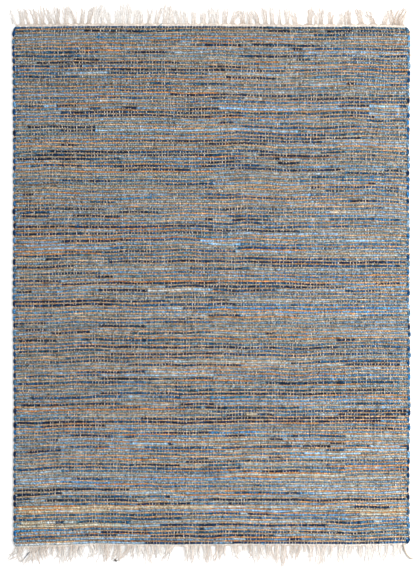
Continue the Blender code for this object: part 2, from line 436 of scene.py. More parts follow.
# dark and light are the flecks' own range, and calm is how much of it is left on the palest dye
denimFinish = strandFinish("torn denim", {
    "stretch": (1.0, 0.80, 0.12), "shift": (0.0, 0.0, 0.0), "flecks": 250.0,
    "dark": 0.34, "light": 1.66, "calm": 0.35,
    "fibreScale": 900.0, "bump": 0.6, "roughness": 0.92})
juteFinish = strandFinish("jute yarn", {
    "stretch": (1.0, 0.80, 0.12), "shift": (3.0, 1.0, 0.0), "flecks": 250.0,
    "dark": 0.50, "light": 1.50, "calm": 0.90,
    "fibreScale": 1300.0, "bump": 0.8, "roughness": 0.95,
    "ply": 0.0090, "plySlant": 38, "plyGrooveShade": 0.72})
cottonFinish = strandFinish("cotton warp", {
    "stretch": (1.0, 1.0, 1.0), "shift": (0.0, 0.0, 0.0), "flecks": 300.0,
    "dark": 0.88, "light": 1.10, "calm": 1.0,
    "fibreScale": 1500.0, "bump": 0.5, "roughness": 0.95})


# The denim's and the jute's colours.

# Every strip has a face and a paler back, and twists from one to the other as it goes. Screen values.
denim = {
    "shades": {
        "ink": {"face": (9, 40, 71), "back": (40, 86, 123), "shows": 0.26},
        "navy": {"face": (21, 69, 106), "back": (61, 112, 148), "shows": 0.30},
        "indigo": {"face": (60, 103, 137), "back": (102, 141, 167), "shows": 0.36},
        "slate": {"face": (84, 112, 134), "back": (118, 142, 160), "shows": 0.40},
        "worn": {"face": (97, 126, 146), "back": (133, 155, 168), "shows": 0.42},
        "washed": {"face": (116, 143, 163), "back": (148, 167, 182), "shows": 0.42},
        "sky": {"face": (87, 134, 171), "back": (119, 156, 185), "shows": 0.36},
        "pale": {"face": (128, 158, 182), "back": (160, 182, 198), "shows": 0.45},
        "bleached": {"face": (144, 166, 177), "back": (168, 186, 193), "shows": 0.45},
        "khaki": {"face": (180, 179, 162), "back": (194, 192, 180), "shows": 0.45},
        "royal": {"face": (50, 115, 162), "back": (84, 143, 182), "shows": 0.34},
        "bright": {"face": (133, 179, 216), "back": (161, 196, 224), "shows": 0.45},
        "white": {"face": (181, 192, 199), "back": (197, 202, 203), "shows": 0.45},
    },
    # how much of each shade the strips take in dark, middling and light stretches of the rug
    "dark": {"navy": 2, "indigo": 5, "slate": 5, "worn": 5, "washed": 1},
    "even": {"navy": 0.3, "indigo": 2, "slate": 4, "worn": 9, "washed": 4, "sky": 0.4},
    "light": {"indigo": 0.5, "slate": 2, "worn": 7, "washed": 7, "sky": 0.8, "pale": 0.8},
    "shortest": 0.16, "longest": 1.20, "girths": (0.82, 1.18),      # of a strip
    # twist is how many warps lie between twists, and slow and quick are how uneven the dye is
    "twist": 4, "slow": 0.02, "quick": 0.26, "fleckWarmth": 0.08,
    "seed": 21,
}
jute = {
    "shades": {
        "straw": {"face": (199, 170, 137), "back": (176, 145, 112), "shows": 0.3},
        "tan": {"face": (198, 163, 126), "back": (174, 137, 102), "shows": 0.3},
        "rust": {"face": (206, 151, 99), "back": (174, 120, 77), "shows": 0.3},
        "husk": {"face": (178, 150, 121), "back": (152, 126, 99), "shows": 0.3},
        "brown": {"face": (161, 126, 96), "back": (126, 98, 76), "shows": 0.4},
    },
    "mix": {"straw": 4, "tan": 7, "rust": 1.6, "husk": 2.4},
    "shortest": 0.08, "longest": 0.80, "girths": (0.74, 1.22),
    "twist": 3, "slow": 0.05, "quick": 0.12, "fleckWarmth": 0.06,
    "seed": 22,
}
fullLight = 1.28        # the light on the cloth, against which the screen values are read
# Painted light: how much lighter or darker the cloth's colour is made, by the distance from the far end,
# darker towards the far end and lighter towards the near end, for light that falls off along the rug.
paintedLightFalloff = {
    "from": (0.0, 0.15, 0.60, 0.95, 1.20, 1.40, 1.62, 1.90),
    "light": (0.83, 0.94, 0.94, 0.98, 0.99, 1.05, 1.11, 1.17),
}

# How light the rug is by the distance from the far end: -1 is dark and 1 is light.
toneRows = {
    "from": (0.00, 0.03, 0.06, 0.12, 0.18, 0.25, 0.31, 0.35, 0.42, 0.48, 0.55, 0.62, 0.69, 0.76, 0.83,
             0.88, 0.96, 1.00, 1.04, 1.08, 1.12, 1.18, 1.24, 1.29, 1.34, 1.38, 1.43, 1.50, 1.54,
             1.60, 1.64, 1.68, 1.74, 1.78, 1.83, 1.87, 1.90, 1.96),
    "tone": (-0.9, -0.2, 0.4, -0.1, -0.7, 0.2, -0.7, 0.3, -0.2, -0.3, 0.3, 0.3, 0.0, -0.3, 0.4,
             -0.3, 0.0, -0.2, -0.6, 0.8, 0.0, 0.0, -0.5, 0.5, -0.2, 0.2, 0.0, -0.6, 0.7,
             0.5, -0.2, -0.3, 0.9, -0.3, 0.5, -0.3, 0.3, -0.4),
}

# Strips that stand out, as (row from the far end, column it starts at, column it stops at) in the photo.
ruler = {"first": 0.0064, "pitch": 0.013417}      # metres from the far end to row 0, and from row to row
strips = {
    "worn": (
        (4.5, 325, 403), (14, 16, 80), (31.1, 14, 120), (38, 20, 90), (41.9, 100, 213), (44, 60, 150),
        (46, 160, 213), (60, 250, 340), (70.5, 300, 345), (82.7, 250, 400), (85, 100, 213), (98, 208, 260),
        (101, 210, 400), (117.5, 18, 70), (122, 60, 180), (127.8, 208, 330), (141.9, 20, 60)),
    "washed": (
        (2, 100, 213), (3, 32, 97), (4, 20, 75), (6.2, 120, 142), (15, 151, 237), (2.2, 208, 300),
        (25.6, 60, 150), (30.6, 150, 213), (31.5, 120, 213), (33, 18, 60), (40.8, 100, 125),
        (51, 105, 118), (61.6, 180, 213), (63.4, 16, 60), (66.4, 110, 150), (68.7, 18, 60), (71, 60, 130),
        (76.2, 120, 213), (86, 90, 130), (94.8, 80, 130), (95.7, 20, 213), (108.9, 90, 180),
        (112, 105, 213), (118.6, 60, 160), (119.5, 85, 120), (120.5, 60, 110), (132.8, 137, 213),
        (133.9, 60, 110), (134.8, 18, 60), (139.3, 130, 213), (42.2, 208, 300), (47.2, 240, 310),
        (57, 300, 400), (63.3, 290, 345), (64.6, 300, 400), (106.7, 345, 400), (115.5, 345, 400),
        (124.1, 345, 380), (132.5, 208, 300), (138, 345, 405), (139, 208, 345), (140.9, 208, 300),
        (143, 275, 345), (95.9, 240, 340), (118.5, 208, 345), (129.5, 340, 400), (142.4, 18, 100),
        (49, 60, 200), (50, 208, 400), (59.9, 20, 60), (84.9, 340, 400), (97.7, 60, 130), (106, 225, 340)),
    "slate": (
        (8.2, 125, 150), (10.7, 92, 160), (13.9, 78, 213), (16.2, 20, 140), (41.8, 40, 100),
        (43.3, 40, 62), (58.4, 28, 60), (65.4, 60, 110), (66.4, 40, 110), (69.7, 18, 60), (73.2, 18, 60),
        (75.4, 40, 140), (76.2, 30, 85), (83.8, 45, 100), (85.2, 16, 100), (87.4, 20, 145), (89.6, 18, 60),
        (92.4, 20, 60), (94.7, 20, 60), (100.8, 20, 110), (105.8, 16, 60), (110.4, 70, 110),
        (118.4, 20, 60), (122.2, 20, 110), (122.7, 20, 60), (124.9, 20, 60), (31.4, 365, 405),
        (70.5, 345, 390), (75.3, 208, 400), (83.7, 345, 405), (85.9, 258, 300), (90.6, 370, 400),
        (96.9, 230, 340), (112, 208, 345), (125, 300, 320), (128.6, 208, 300), (134.5, 208, 345),
        (144.1, 208, 232), (144.2, 160, 213), (120.6, 18, 60), (144.9, 208, 232)),
    "sky": (
        (3, 97, 300), (11, 260, 284), (37.1, 120, 200), (38.7, 300, 405), (53, 320, 360), (59.2, 120, 213),
        (59, 270, 345), (60.3, 340, 400), (70.9, 255, 345), (74.4, 55, 100), (75.4, 16, 40),
        (79.6, 18, 180), (80.5, 16, 213), (81.8, 18, 70), (100.8, 115, 145), (104.9, 208, 400),
        (112.9, 18, 75), (128, 24, 110), (126.9, 208, 280), (126.8, 150, 213), (137.3, 290, 345),
        (140.8, 345, 400), (141.1, 300, 345), (109.8, 18, 60), (131.6, 300, 312), (80.3, 240, 400),
        (68.7, 80, 140)),
    "pale": (
        (4, 180, 192), (5, 175, 190), (7.2, 174, 213), (9.1, 192, 235), (12.9, 67, 108), (6.5, 311, 379),
        (7.2, 358, 403), (11.3, 290, 338), (13.1, 208, 298), (15.7, 311, 346), (17, 208, 244),
        (20.7, 85, 150), (20.6, 245, 262), (23.3, 300, 370), (23, 388, 405), (37.2, 280, 300),
        (45.8, 125, 160), (47, 157, 166), (56.7, 72, 130), (61.2, 28, 60), (62.2, 40, 110),
        (76.5, 230, 330), (78.6, 165, 182), (74.3, 275, 350), (57.9, 228, 345), (58.5, 345, 400),
        (60.3, 208, 240), (63.3, 235, 290), (63.8, 345, 400), (81.2, 345, 370), (93.9, 145, 180),
        (96.8, 145, 213), (97.6, 55, 85), (95.7, 360, 380), (107.8, 20, 70), (115.8, 58, 213),
        (116.8, 172, 213), (125.8, 28, 60), (126.8, 18, 150), (115.5, 282, 345), (118.7, 345, 400),
        (120.6, 345, 405), (117.9, 370, 400), (126.8, 345, 400), (128.9, 18, 60), (131, 130, 160),
        (133, 30, 75), (140.5, 120, 160), (144.3, 70, 130), (128.7, 285, 340), (130.6, 280, 400),
        (131.5, 312, 400), (132.4, 380, 403), (136.3, 208, 300), (137.2, 240, 250), (144.1, 232, 245),
        (51.5, 385, 400), (51.7, 315, 355), (2.4, 300, 318), (67.7, 74, 190), (145.1, 18, 145),
        (98, 130, 213), (23.8, 370, 400)),
    "indigo": (
        (1, 17, 84), (1, 180, 213), (5.6, 16, 90), (6.6, 16, 60), (7.2, 14, 50), (8.8, 16, 70),
        (11.7, 14, 80), (12.7, 16, 60), (0.2, 300, 345), (2.5, 346, 392), (3.5, 303, 350),
        (10.1, 234, 260), (13.4, 313, 406), (14.6, 340, 406), (17.6, 227, 325), (5, 110, 122),
        (23.3, 16, 60), (29, 16, 60), (32.1, 14, 30), (35, 14, 50), (19.4, 208, 245), (24.7, 385, 405),
        (25, 245, 290), (27, 280, 310), (29.1, 298, 350), (30.6, 360, 405), (34.5, 275, 340),
        (35.6, 345, 405), (38, 90, 213), (39.2, 165, 213), (42.8, 100, 160), (43.2, 150, 213),
        (47.7, 95, 160), (53.7, 50, 110), (41.9, 345, 400), (43.4, 300, 345), (48.5, 300, 345),
        (52.2, 280, 325), (54.2, 370, 400), (56.9, 115, 213), (62.4, 110, 160), (64.3, 80, 213),
        (68.6, 140, 213), (69.8, 113, 213), (61, 240, 300), (61.3, 300, 400), (62.4, 300, 400),
        (69.8, 240, 345), (82.6, 20, 213), (89.4, 90, 213), (77.7, 238, 350), (77.3, 350, 400),
        (81.2, 360, 390), (86.8, 208, 300), (99.8, 110, 150), (91.8, 260, 400), (98, 320, 400),
        (99, 250, 400), (103.9, 225, 345), (113, 120, 213), (114, 20, 150), (114.9, 110, 213),
        (119.7, 130, 213), (125.2, 60, 213), (110.8, 380, 405), (112, 345, 405), (112.9, 208, 240),
        (119.6, 208, 300), (122.7, 345, 405), (124.8, 208, 260), (125, 320, 390), (129.7, 130, 213),
        (131.9, 130, 170), (134.8, 60, 213), (137.4, 18, 110), (138.5, 35, 130), (141.2, 18, 213),
        (138, 208, 345), (139.5, 360, 400), (142.9, 345, 405)),
    "navy": (
        (0, 14, 190), (1, 140, 180), (6.6, 50, 98), (7.6, 16, 80), (10.6, 16, 50), (11.9, 80, 120),
        (13.7, 16, 78), (16.2, 194, 213), (16.2, 150, 170), (18, 117, 170), (0, 268, 300), (0.1, 345, 375),
        (1.5, 358, 403), (2.5, 313, 346), (5.2, 271, 302), (5.5, 315, 403), (8, 240, 250), (8.1, 304, 318),
        (8.1, 328, 352), (8.2, 379, 406), (9.2, 295, 311), (9.2, 353, 391), (12.1, 223, 284),
        (12.4, 295, 345), (12.2, 367, 406), (16, 390, 408), (19.7, 95, 155), (22.2, 18, 45),
        (22.6, 88, 100), (24, 125, 200), (24.6, 60, 100), (29.3, 140, 165), (30, 16, 45), (32.2, 120, 150),
        (34.9, 130, 213), (18.7, 290, 340), (18.8, 370, 405), (19.5, 245, 290), (20, 360, 405),
        (20.9, 350, 405), (22, 372, 405), (24, 208, 290), (24.2, 290, 370), (24.9, 320, 350),
        (25.9, 365, 405), (26, 250, 262), (27.9, 240, 360), (29.9, 235, 300), (30.1, 300, 350),
        (30.9, 250, 345), (35.5, 208, 240), (35.5, 320, 345), (37, 85, 120), (38.7, 30, 60),
        (38.9, 80, 120), (44.2, 165, 213), (45.3, 200, 213), (48.1, 200, 300), (49.5, 90, 115),
        (52.4, 20, 50), (52.4, 120, 158), (36.6, 208, 250), (36.9, 350, 375), (38.6, 208, 260),
        (40.5, 345, 385), (40.8, 385, 402), (42.3, 310, 345), (42.7, 340, 385), (44.5, 365, 370),
        (44.8, 330, 400), (45.6, 325, 400), (46.9, 208, 240), (48.6, 345, 400), (53.2, 230, 268),
        (53.5, 330, 400), (56.5, 28, 80), (57.9, 110, 213), (60.1, 130, 213), (62.3, 160, 213),
        (63.3, 65, 213), (64.3, 16, 80), (67.8, 190, 250), (54.8, 208, 260), (55.9, 265, 312),
        (56.2, 330, 348), (59.3, 208, 230), (62.2, 235, 300), (63.3, 208, 235), (65.4, 240, 345),
        (67.7, 260, 400), (72, 208, 300), (75.4, 165, 213), (77.5, 170, 213), (78.4, 16, 60),
        (78.3, 110, 165), (79.1, 182, 205), (81.8, 100, 200), (83, 165, 190), (86.2, 133, 213),
        (88.2, 80, 150), (88.3, 150, 213), (74.2, 208, 225), (80.7, 208, 240), (88.6, 208, 240),
        (89.8, 245, 300), (89.7, 360, 400), (91.5, 18, 110), (92.6, 65, 213), (93.7, 50, 130),
        (96.6, 75, 100), (98.7, 28, 100), (98.6, 150, 213), (99.8, 18, 120), (101.9, 175, 213),
        (102.6, 110, 170), (103.6, 160, 180), (104.6, 30, 120), (105.8, 60, 120), (106.9, 110, 140),
        (107.1, 165, 200), (92.7, 208, 400), (93.7, 285, 400), (99.8, 340, 400), (101.9, 228, 345),
        (103, 340, 400), (105.8, 345, 400), (106.9, 225, 300), (107.8, 208, 345), (111.2, 90, 150),
        (117.8, 70, 110), (117.8, 145, 213), (120.4, 155, 180), (121.5, 190, 213), (123, 60, 130),
        (123.9, 18, 160), (127, 72, 110), (113, 345, 400), (114.5, 290, 340), (117.6, 222, 300),
        (121.7, 208, 405), (123.7, 208, 240), (131.8, 60, 130), (133.5, 195, 213), (137.5, 110, 213),
        (138.4, 18, 35), (138.5, 130, 180), (142.3, 150, 290), (143.6, 18, 60), (129.6, 255, 270),
        (131.6, 235, 300), (137.2, 208, 240), (141.8, 360, 400), (143.7, 345, 405), (144.9, 378, 405),
        (139.3, 78, 130), (74.1, 345, 380), (69.4, 30, 100)),
    "ink": (
        (0, 190, 268), (1, 84, 140), (4.9, 205, 241), (6.8, 127, 165), (7.2, 65, 72), (8.8, 74, 100),
        (9.9, 38, 180), (10.8, 59, 83), (11.9, 120, 223), (1.1, 268, 290), (1.2, 327, 351), (5, 253, 271),
        (5.5, 302, 315), (6.4, 292, 302), (7.9, 250, 304), (11.1, 208, 245), (14.1, 224, 275),
        (16.3, 211, 225), (15.9, 346, 356), (18.5, 170, 290), (22.5, 56, 78), (22.5, 122, 137),
        (23, 188, 218), (23.8, 60, 125), (24.8, 100, 213), (28.1, 28, 95), (29.3, 60, 95),
        (32.5, 150, 213), (32.9, 60, 75), (34.7, 50, 130), (35.8, 35, 100), (36.3, 140, 213),
        (19.7, 290, 360), (20.2, 210, 225), (20.5, 318, 350), (21.7, 338, 372), (24.9, 218, 245),
        (25.5, 350, 375), (26.9, 218, 232), (30.6, 250, 262), (31, 310, 360), (32.8, 208, 266),
        (34.5, 235, 275), (36, 370, 376), (36.7, 16, 85), (38.5, 200, 213), (38.9, 60, 80),
        (39.1, 120, 165), (40.1, 120, 190), (43.5, 62, 110), (46.5, 88, 96), (47.3, 22, 34),
        (51.2, 16, 70), (51.5, 70, 105), (51.6, 118, 158), (52.7, 73, 120), (53.4, 20, 50),
        (36.5, 260, 330), (37.5, 208, 240), (37.5, 273, 280), (38.6, 278, 300), (39.8, 385, 402),
        (40.3, 230, 345), (43.8, 368, 375), (45.3, 310, 325), (48.9, 350, 370), (50.7, 225, 245),
        (54, 233, 270), (54.3, 205, 213), (55.6, 16, 120), (55.8, 120, 213), (57.6, 16, 110),
        (59.9, 62, 130), (65.8, 38, 60), (65.4, 110, 240), (67.4, 16, 74), (68.7, 72, 80), (70.1, 95, 113),
        (71, 16, 60), (71.8, 16, 60), (72.2, 60, 213), (73, 165, 345), (57, 208, 300), (65.7, 345, 390),
        (66.6, 208, 405), (72.3, 300, 330), (71.7, 375, 400), (74.2, 16, 32), (74.3, 98, 148),
        (77.4, 14, 165), (78.5, 35, 110), (83.7, 16, 45), (83.7, 100, 145), (85, 26, 45), (86.2, 52, 90),
        (88.5, 18, 55), (88.4, 143, 148), (90.4, 80, 275), (74.2, 225, 275), (76.6, 208, 230),
        (77.7, 208, 235), (81.2, 225, 238), (86.2, 265, 275), (88, 335, 355), (89.8, 300, 335),
        (91.5, 110, 213), (94.9, 130, 240), (96.7, 100, 145), (98.7, 100, 150), (101.5, 175, 190),
        (102.8, 160, 180), (103.4, 100, 118), (103, 180, 240), (105.6, 180, 213), (106.7, 20, 110),
        (106.8, 205, 225), (94.7, 345, 400), (100, 265, 340), (100.5, 280, 300), (102, 345, 385),
        (102.9, 238, 340), (107.8, 345, 405), (109, 225, 275), (108.9, 338, 405), (110.2, 140, 213),
        (111, 16, 90), (111.3, 150, 213), (111.9, 40, 105), (113.9, 150, 213), (114.9, 70, 110),
        (114.7, 128, 134), (115.8, 48, 58), (116.8, 166, 172), (119.5, 28, 60), (122.4, 185, 213),
        (122.9, 130, 180), (110, 208, 395), (111.1, 208, 320), (110.8, 320, 380), (113.2, 365, 395),
        (114.4, 214, 218), (115.5, 225, 245), (115.5, 270, 282), (117.5, 303, 330), (117.2, 330, 345),
        (120.7, 268, 283), (123.5, 325, 330), (124.7, 262, 300), (124.3, 402, 406), (129.7, 18, 130),
        (130.4, 16, 60), (131, 18, 60), (131.9, 16, 60), (131.9, 165, 170), (132.6, 45, 137),
        (132.8, 16, 30), (133.9, 137, 190), (134.8, 82, 88), (139.3, 54, 64), (140.4, 160, 213),
        (141.4, 198, 204), (142.1, 100, 150), (143.2, 85, 115), (143.4, 150, 232), (145, 145, 213),
        (133.4, 208, 345), (133.1, 345, 405), (134.5, 228, 245), (135.2, 355, 390), (137.3, 248, 268),
        (139.7, 208, 325), (139.9, 325, 360), (142, 300, 360), (142.9, 228, 275), (144, 245, 265),
        (143.8, 285, 300), (144.9, 232, 380)),
    "royal": (
        (3.1, 97, 125), (59.3, 195, 230), (78.8, 208, 400), (79.6, 60, 100), (112.8, 75, 92),
        (113.8, 208, 260), (104.6, 210, 250), (119.8, 290, 304), (141.4, 14, 60), (45.6, 345, 385),
        (54.3, 375, 395), (47.8, 120, 150), (99, 330, 345), (42.6, 350, 385)),
    "bright": (
        (28.4, 95, 213), (28.8, 213, 298), (22.9, 218, 300), (22.7, 370, 400), (22.1, 44, 56),
        (61.3, 208, 240), (60.3, 200, 213), (74.3, 195, 213), (116.9, 130, 166), (60.3, 345, 375),
        (119.6, 304, 360), (119.4, 360, 405), (120.6, 290, 345)),
    "bleached": (
        (65.4, 16, 45), (93.9, 180, 290), (97.7, 150, 213), (95, 318, 340), (103.8, 128, 140),
        (114.7, 345, 405), (116, 208, 268), (120.7, 208, 268), (126, 225, 345), (129.5, 345, 355),
        (139.3, 64, 76), (135.4, 208, 340), (138.9, 374, 382)),
    "khaki": (
        (135.7, 18, 85), (135.6, 85, 213), (136.4, 18, 110), (139.3, 20, 47), (140.5, 18, 120),
        (136.1, 345, 405), (136.9, 360, 405), (109, 245, 255)),
    "white": (
        (74.2, 148, 195), (136.5, 55, 72), (139.4, 47, 54), (135.4, 230, 245), (51.7, 330, 345),
        (20.7, 100, 108), (99.8, 298, 303), (145.5, 14, 74)),
}
juteStrips = {
    "rust": (
        (3.5, 150, 250), (6.4, 85, 120), (4.4, 255, 300), (4.9, 390, 411), (9.4, 255, 280),
        (10.8, 340, 360), (11.6, 355, 411), (15.5, 147, 162), (19.3, 80, 120), (21.3, 62, 115),
        (22.9, 30, 100), (23.3, 100, 213), (23.5, 208, 370), (73.9, 212, 222), (76.8, 103, 120),
        (79.6, 208, 345), (81.8, 208, 300), (80.8, 348, 355), (97.4, 208, 345), (113.4, 230, 260),
        (124.8, 195, 235), (119.6, 188, 195), (136.8, 208, 345), (135.7, 208, 290), (130.9, 225, 245),
        (130.4, 320, 350), (144.5, 225, 275), (142.3, 60, 150), (131, 170, 213), (95.2, 165, 176),
        (94.5, 240, 243), (65.7, 270, 276), (50.5, 130, 136), (25.9, 250, 275)),
    "brown": (
        (1.4, 110, 118), (36.4, 272, 340), (76.6, 95, 103), (71.6, 41, 50), (62.9, 135, 142),
        (44.4, 20, 60), (119.2, 28, 60), (60.6, 18, 23), (124.3, 200, 208), (54.9, 190, 200),
        (144.5, 14, 60), (144.5, 110, 178)),
    "straw": (
        (27.5, 60, 140), (58.2, 300, 400), (92.3, 40, 200), (108.5, 208, 330), (77, 245, 400),
        (121, 285, 400), (132, 285, 400), (139.9, 20, 110), (136.1, 60, 180), (33.4, 60, 160),
        (13.5, 70, 120), (144.5, 305, 405)),
}

# The denim's turns that stand out along each selvedge, as rows from the far end in the photo.
turnChart = {
    -1: {
        "ink": (30.4, 51.6, 55.7, 64.6, 77.7, 83.7, 107.4, 111.6, 118.9, 130.6, 132.6),
        "navy": (1.6, 5.5, 7.3, 9, 11, 18.5, 22.7, 37.7, 39.8, 57.6, 91.6, 93.4, 97, 101.6, 126.8, 138.1),
        "indigo": (12.7, 25, 34.4, 53.7, 69.4, 71.3, 95.1), "royal": (32.5, 113.5, 142),
        "sky": (60.3, 75.5, 80.2, 82, 88.8, 134.5), "slate": (16, 48, 105.4, 122.7, 124.5),
        "worn": (14, 26.7, 44, 46, 99.6, 103.5, 109.4, 144), "washed": (3.3, 28.5, 41.9, 62.4, 86, 116.7),
        "pale": (121, 128.5), "bright": (20.6,), "bleached": (136, 140.2),
        "large": (1.6, 22.7, 30.4, 51.6, 80.2, 97, 107.4, 111.6, 118.9, 130.6), "small": (83.7, 126.8),
    },
    1: {
        "ink": (19.6, 40.1, 83.8, 124.4, 131.3, 133),
        "navy": (12.8, 15.2, 25.1, 29, 44.3, 48, 65, 74.3, 90, 94, 108.2, 121.9, 127, 144.4),
        "indigo": (21.7, 30.9, 35, 68.4, 85.8, 110.4), "royal": (27, 42.4, 46, 57.8, 98.3, 104.8, 112.3),
        "sky": (2.6, 8.5, 38.3, 61.5, 92.1, 96.3, 138.3, 140.3), "slate": (6.7, 52, 72, 102.5, 134.9),
        "worn": (36.3,), "washed": (9.7, 17.4, 59.5, 70.5, 81.5, 100.3, 129.5, 142.4),
        "pale": (23.4, 33, 53.9, 79, 115.7), "bright": (119.8,),
        "large": (15.2, 40.1, 42.4, 119.8, 144.4), "small": (6.7, 83.8, 124.4, 131.3),
    },
}


def weighted(rng, weights):
    names = list(weights)
    return rng.choices(names, [weights[name] for name in names])[0]


def toneAt(distance):
    return float(np.interp(rug["length"] - distance, toneRows["from"], toneRows["tone"]))


def denimShade(rng, distance):
    tone = toneAt(distance)
    other = denim["light"] if tone > 0 else denim["dark"]
    return weighted(rng, other if rng.random() < abs(tone) else denim["even"])


def juteShade(rng, _):            # the same mix all along the rug
    return weighted(rng, jute["mix"])


def smoothNoise(rng, rows, columns, overRows, overColumns):
    # even noise with a spread of 1, smooth over so many rows and columns
    noise = rng.normal(size=(rows + 2 * overRows, columns + 2 * overColumns))
    down, along = np.hanning(overRows + 2)[1:-1], np.hanning(overColumns + 2)[1:-1]
    if overRows > 1:
        noise = np.apply_along_axis(np.convolve, 0, noise, down, "same")
    if overColumns > 1:
        noise = np.apply_along_axis(np.convolve, 1, noise, along, "same")
    noise = noise[overRows:overRows + rows, overColumns:overColumns + columns]
    return noise / noise.std()


# How a weft's colour and girth change along it, for denim and jute alike.
dye = {
    "levels": (0.96, 1.05), "warmth": 0.12,                 # from one strip to the next
    "turnFrom": 0.85, "turnBy": 1.9, "turnOver": 0.8,       # how readily a strip turns its back up
    "backShare": 0.5,
    "slowWarps": 15, "contrast": 0.38, "contrastSpread": 1.13, "lightest": 1.5,
    "girthWave": 0.06, "girthWarps": 8, "joinGirth": 1.16,
}


def joinStrips(kind, look, picks, chooseShade):
    # the strips joined end to end into the whole weft: where each starts, its shade, level, girth and warmth
    rng = random.Random(look["seed"])
    names = list(look["shades"])
    reached, joined = 0.0, []
    while reached < picks * rug["width"]:
        shade = names.index(chooseShade(rng, pickDistance(kind, int(reached / rug["width"]))))
        joined.append((reached, shade, rng.uniform(*dye["levels"]), rng.uniform(*look["girths"]),
                       rng.uniform(-dye["warmth"], dye["warmth"])))
        reached += look["shortest"] + (look["longest"] - look["shortest"]) * rng.random() ** 1.6
    return [np.array(column) for column in zip(*joined)]


def followChart(kind, chart, names, places, shade, joins):
    # lays the strips that stand out over those drawn at random
    for name, spans in chart.items():
        for row, startColumn, stopColumn in spans:
            start, stop = columnPlace(startColumn), columnPlace(stopColumn)
            fromNear = rug["length"] - ruler["first"] - ruler["pitch"] * row
            fromNear -= float(driftAt((start + stop) / 2, fromNear))
            pick = round((fromNear - pickDistance(kind, 0)) / rug["pairPitch"])
            pick = min(max(pick, 0), len(shade) - 1)
            inside = np.nonzero((places >= start) & (places <= stop))[0]
            shade[pick, inside] = names.index(name)
            joins += [(pick, inside[0]), (pick, inside[-1])]


def weftTones(kind, look, picks, chooseShade, chart):
    # follows the whole weft, to and fro, and gives each pick a colour and a girth at each warp
    spread = np.random.default_rng(look["seed"])
    names = list(look["shades"])
    faces, backs = (np.array([linearColour(look["shades"][name][side]) for name in names]) / fullLight
                    for side in ("face", "back"))
    shows = np.array([look["shades"][name]["shows"] for name in names])
    starts, shades, levels, girthOf, warmths = joinStrips(kind, look, picks, chooseShade)
    places = warpPlace(np.arange(rug["warps"]), rug["length"] / 2)
    across = np.clip(places + rug["width"] / 2, 0, rug["width"] - 0.001)[None]
    number = np.arange(picks)[:, None]
    travelled = number * rug["width"] + np.where(number % 2 == 0, across, rug["width"] - across)
    run = np.searchsorted(starts, travelled, side="right") - 1
    shade = shades[run]
    joins = [tuple(where) for where in np.argwhere(np.diff(run, axis=1) != 0)]
    followChart(kind, chart, names, places, shade, joins)
    twist = smoothNoise(spread, picks, rug["warps"], 1, look["twist"] * 2)
    turnAt = dye["turnFrom"] - dye["turnBy"] * shows[shade]
    turned = smoothStep((twist - turnAt) / dye["turnOver"] + 0.5)[:, :, None] * dye["backShare"]
    tones = faces[shade] * (1 - turned) + backs[shade] * turned
    slow = smoothNoise(spread, picks, rug["warps"], 1, dye["slowWarps"])
    quick = smoothNoise(spread, picks, rug["warps"] + 2, 1, 1)
    quick = (quick[:, 1:-1] - dye["contrast"] * (quick[:, 2:] + quick[:, :-2])) / dye["contrastSpread"]
    uneven = np.minimum(np.exp(look["slow"] * slow + look["quick"] * quick), dye["lightest"])
    # bleached here is painted light: the colour made darker towards the far end and lighter towards the near
    # end
    bleached = np.interp([rug["length"] - pickDistance(kind, pick) for pick in range(picks)],
                         paintedLightFalloff["from"], paintedLightFalloff["light"])
    tones = tones * (levels[run] * uneven * bleached[:, None])[:, :, None]
    tones[:, :, 0] *= 1 + warmths[run]
    tones[:, :, 2] *= 1 - warmths[run]
    girthNoise = smoothNoise(spread, picks, rug["warps"], 1, dye["girthWarps"])
    girths = girthOf[run] * (1 + dye["girthWave"] * girthNoise)
    for pick, place in joins:
        girths[pick, max(place - 1, 0):place + 2] *= dye["joinGirth"]
    warmer = look["fleckWarmth"] * smoothNoise(spread, picks, rug["warps"], 1, 2)
    tones[:, :, 0] *= 1 + warmer
    tones[:, :, 2] *= 1 - warmer
    return np.clip(tones, 0.003, 0.9), girths, faces[shade] * 0.9


denimTones, denimGirths, denimFaces = weftTones("denim", denim, rug["denimPicks"], denimShade, strips)
juteTones, juteGirths, juteFaces = weftTones("jute", jute, rug["jutePicks"], juteShade, juteStrips)

# Painted shade: the jute beside dark strips is made darker and less orange, as if shaded by them.
besideDarkShade = {"below": 0.12, "keep": (0.78, 0.87, 0.95)}


def shadeBeside():
    dark = np.clip(1 - denimTones.mean(axis=2) / besideDarkShade["below"], 0, 1)
    beside = (dark[:-1] + dark[1:])[:, :, None] / 2
    return juteTones * (1 - beside * (1 - np.array(besideDarkShade["keep"])))


juteTones = shadeBeside()

# How far each pick wanders off its line: pick by pick, so that rows pinch together and part again.
wander = {"long": 0.00085, "short": 0.00018, "pinch": 0.00085, "row": 0.00035, "seed": 51}


def layWander():
    rng = np.random.default_rng(wander["seed"])
    picks = rug["denimPicks"] + rug["jutePicks"]
    offset = wander["long"] * smoothNoise(rng, picks, rug["warps"], 3, 28) \
        + wander["short"] * smoothNoise(rng, picks, rug["warps"], 1, 5) \
        + wander["pinch"] * smoothNoise(rng, picks, rug["warps"], 9, 40) \
        + wander["row"] * rng.normal(size=(picks, 1))
    fromEnd = np.minimum(np.arange(picks), picks - 1 - np.arange(picks))
    return offset * np.clip((fromEnd + 1) / 4, 0, 1)[:, None]


wanderAt = layWander()
print("strips and yarns sorted")
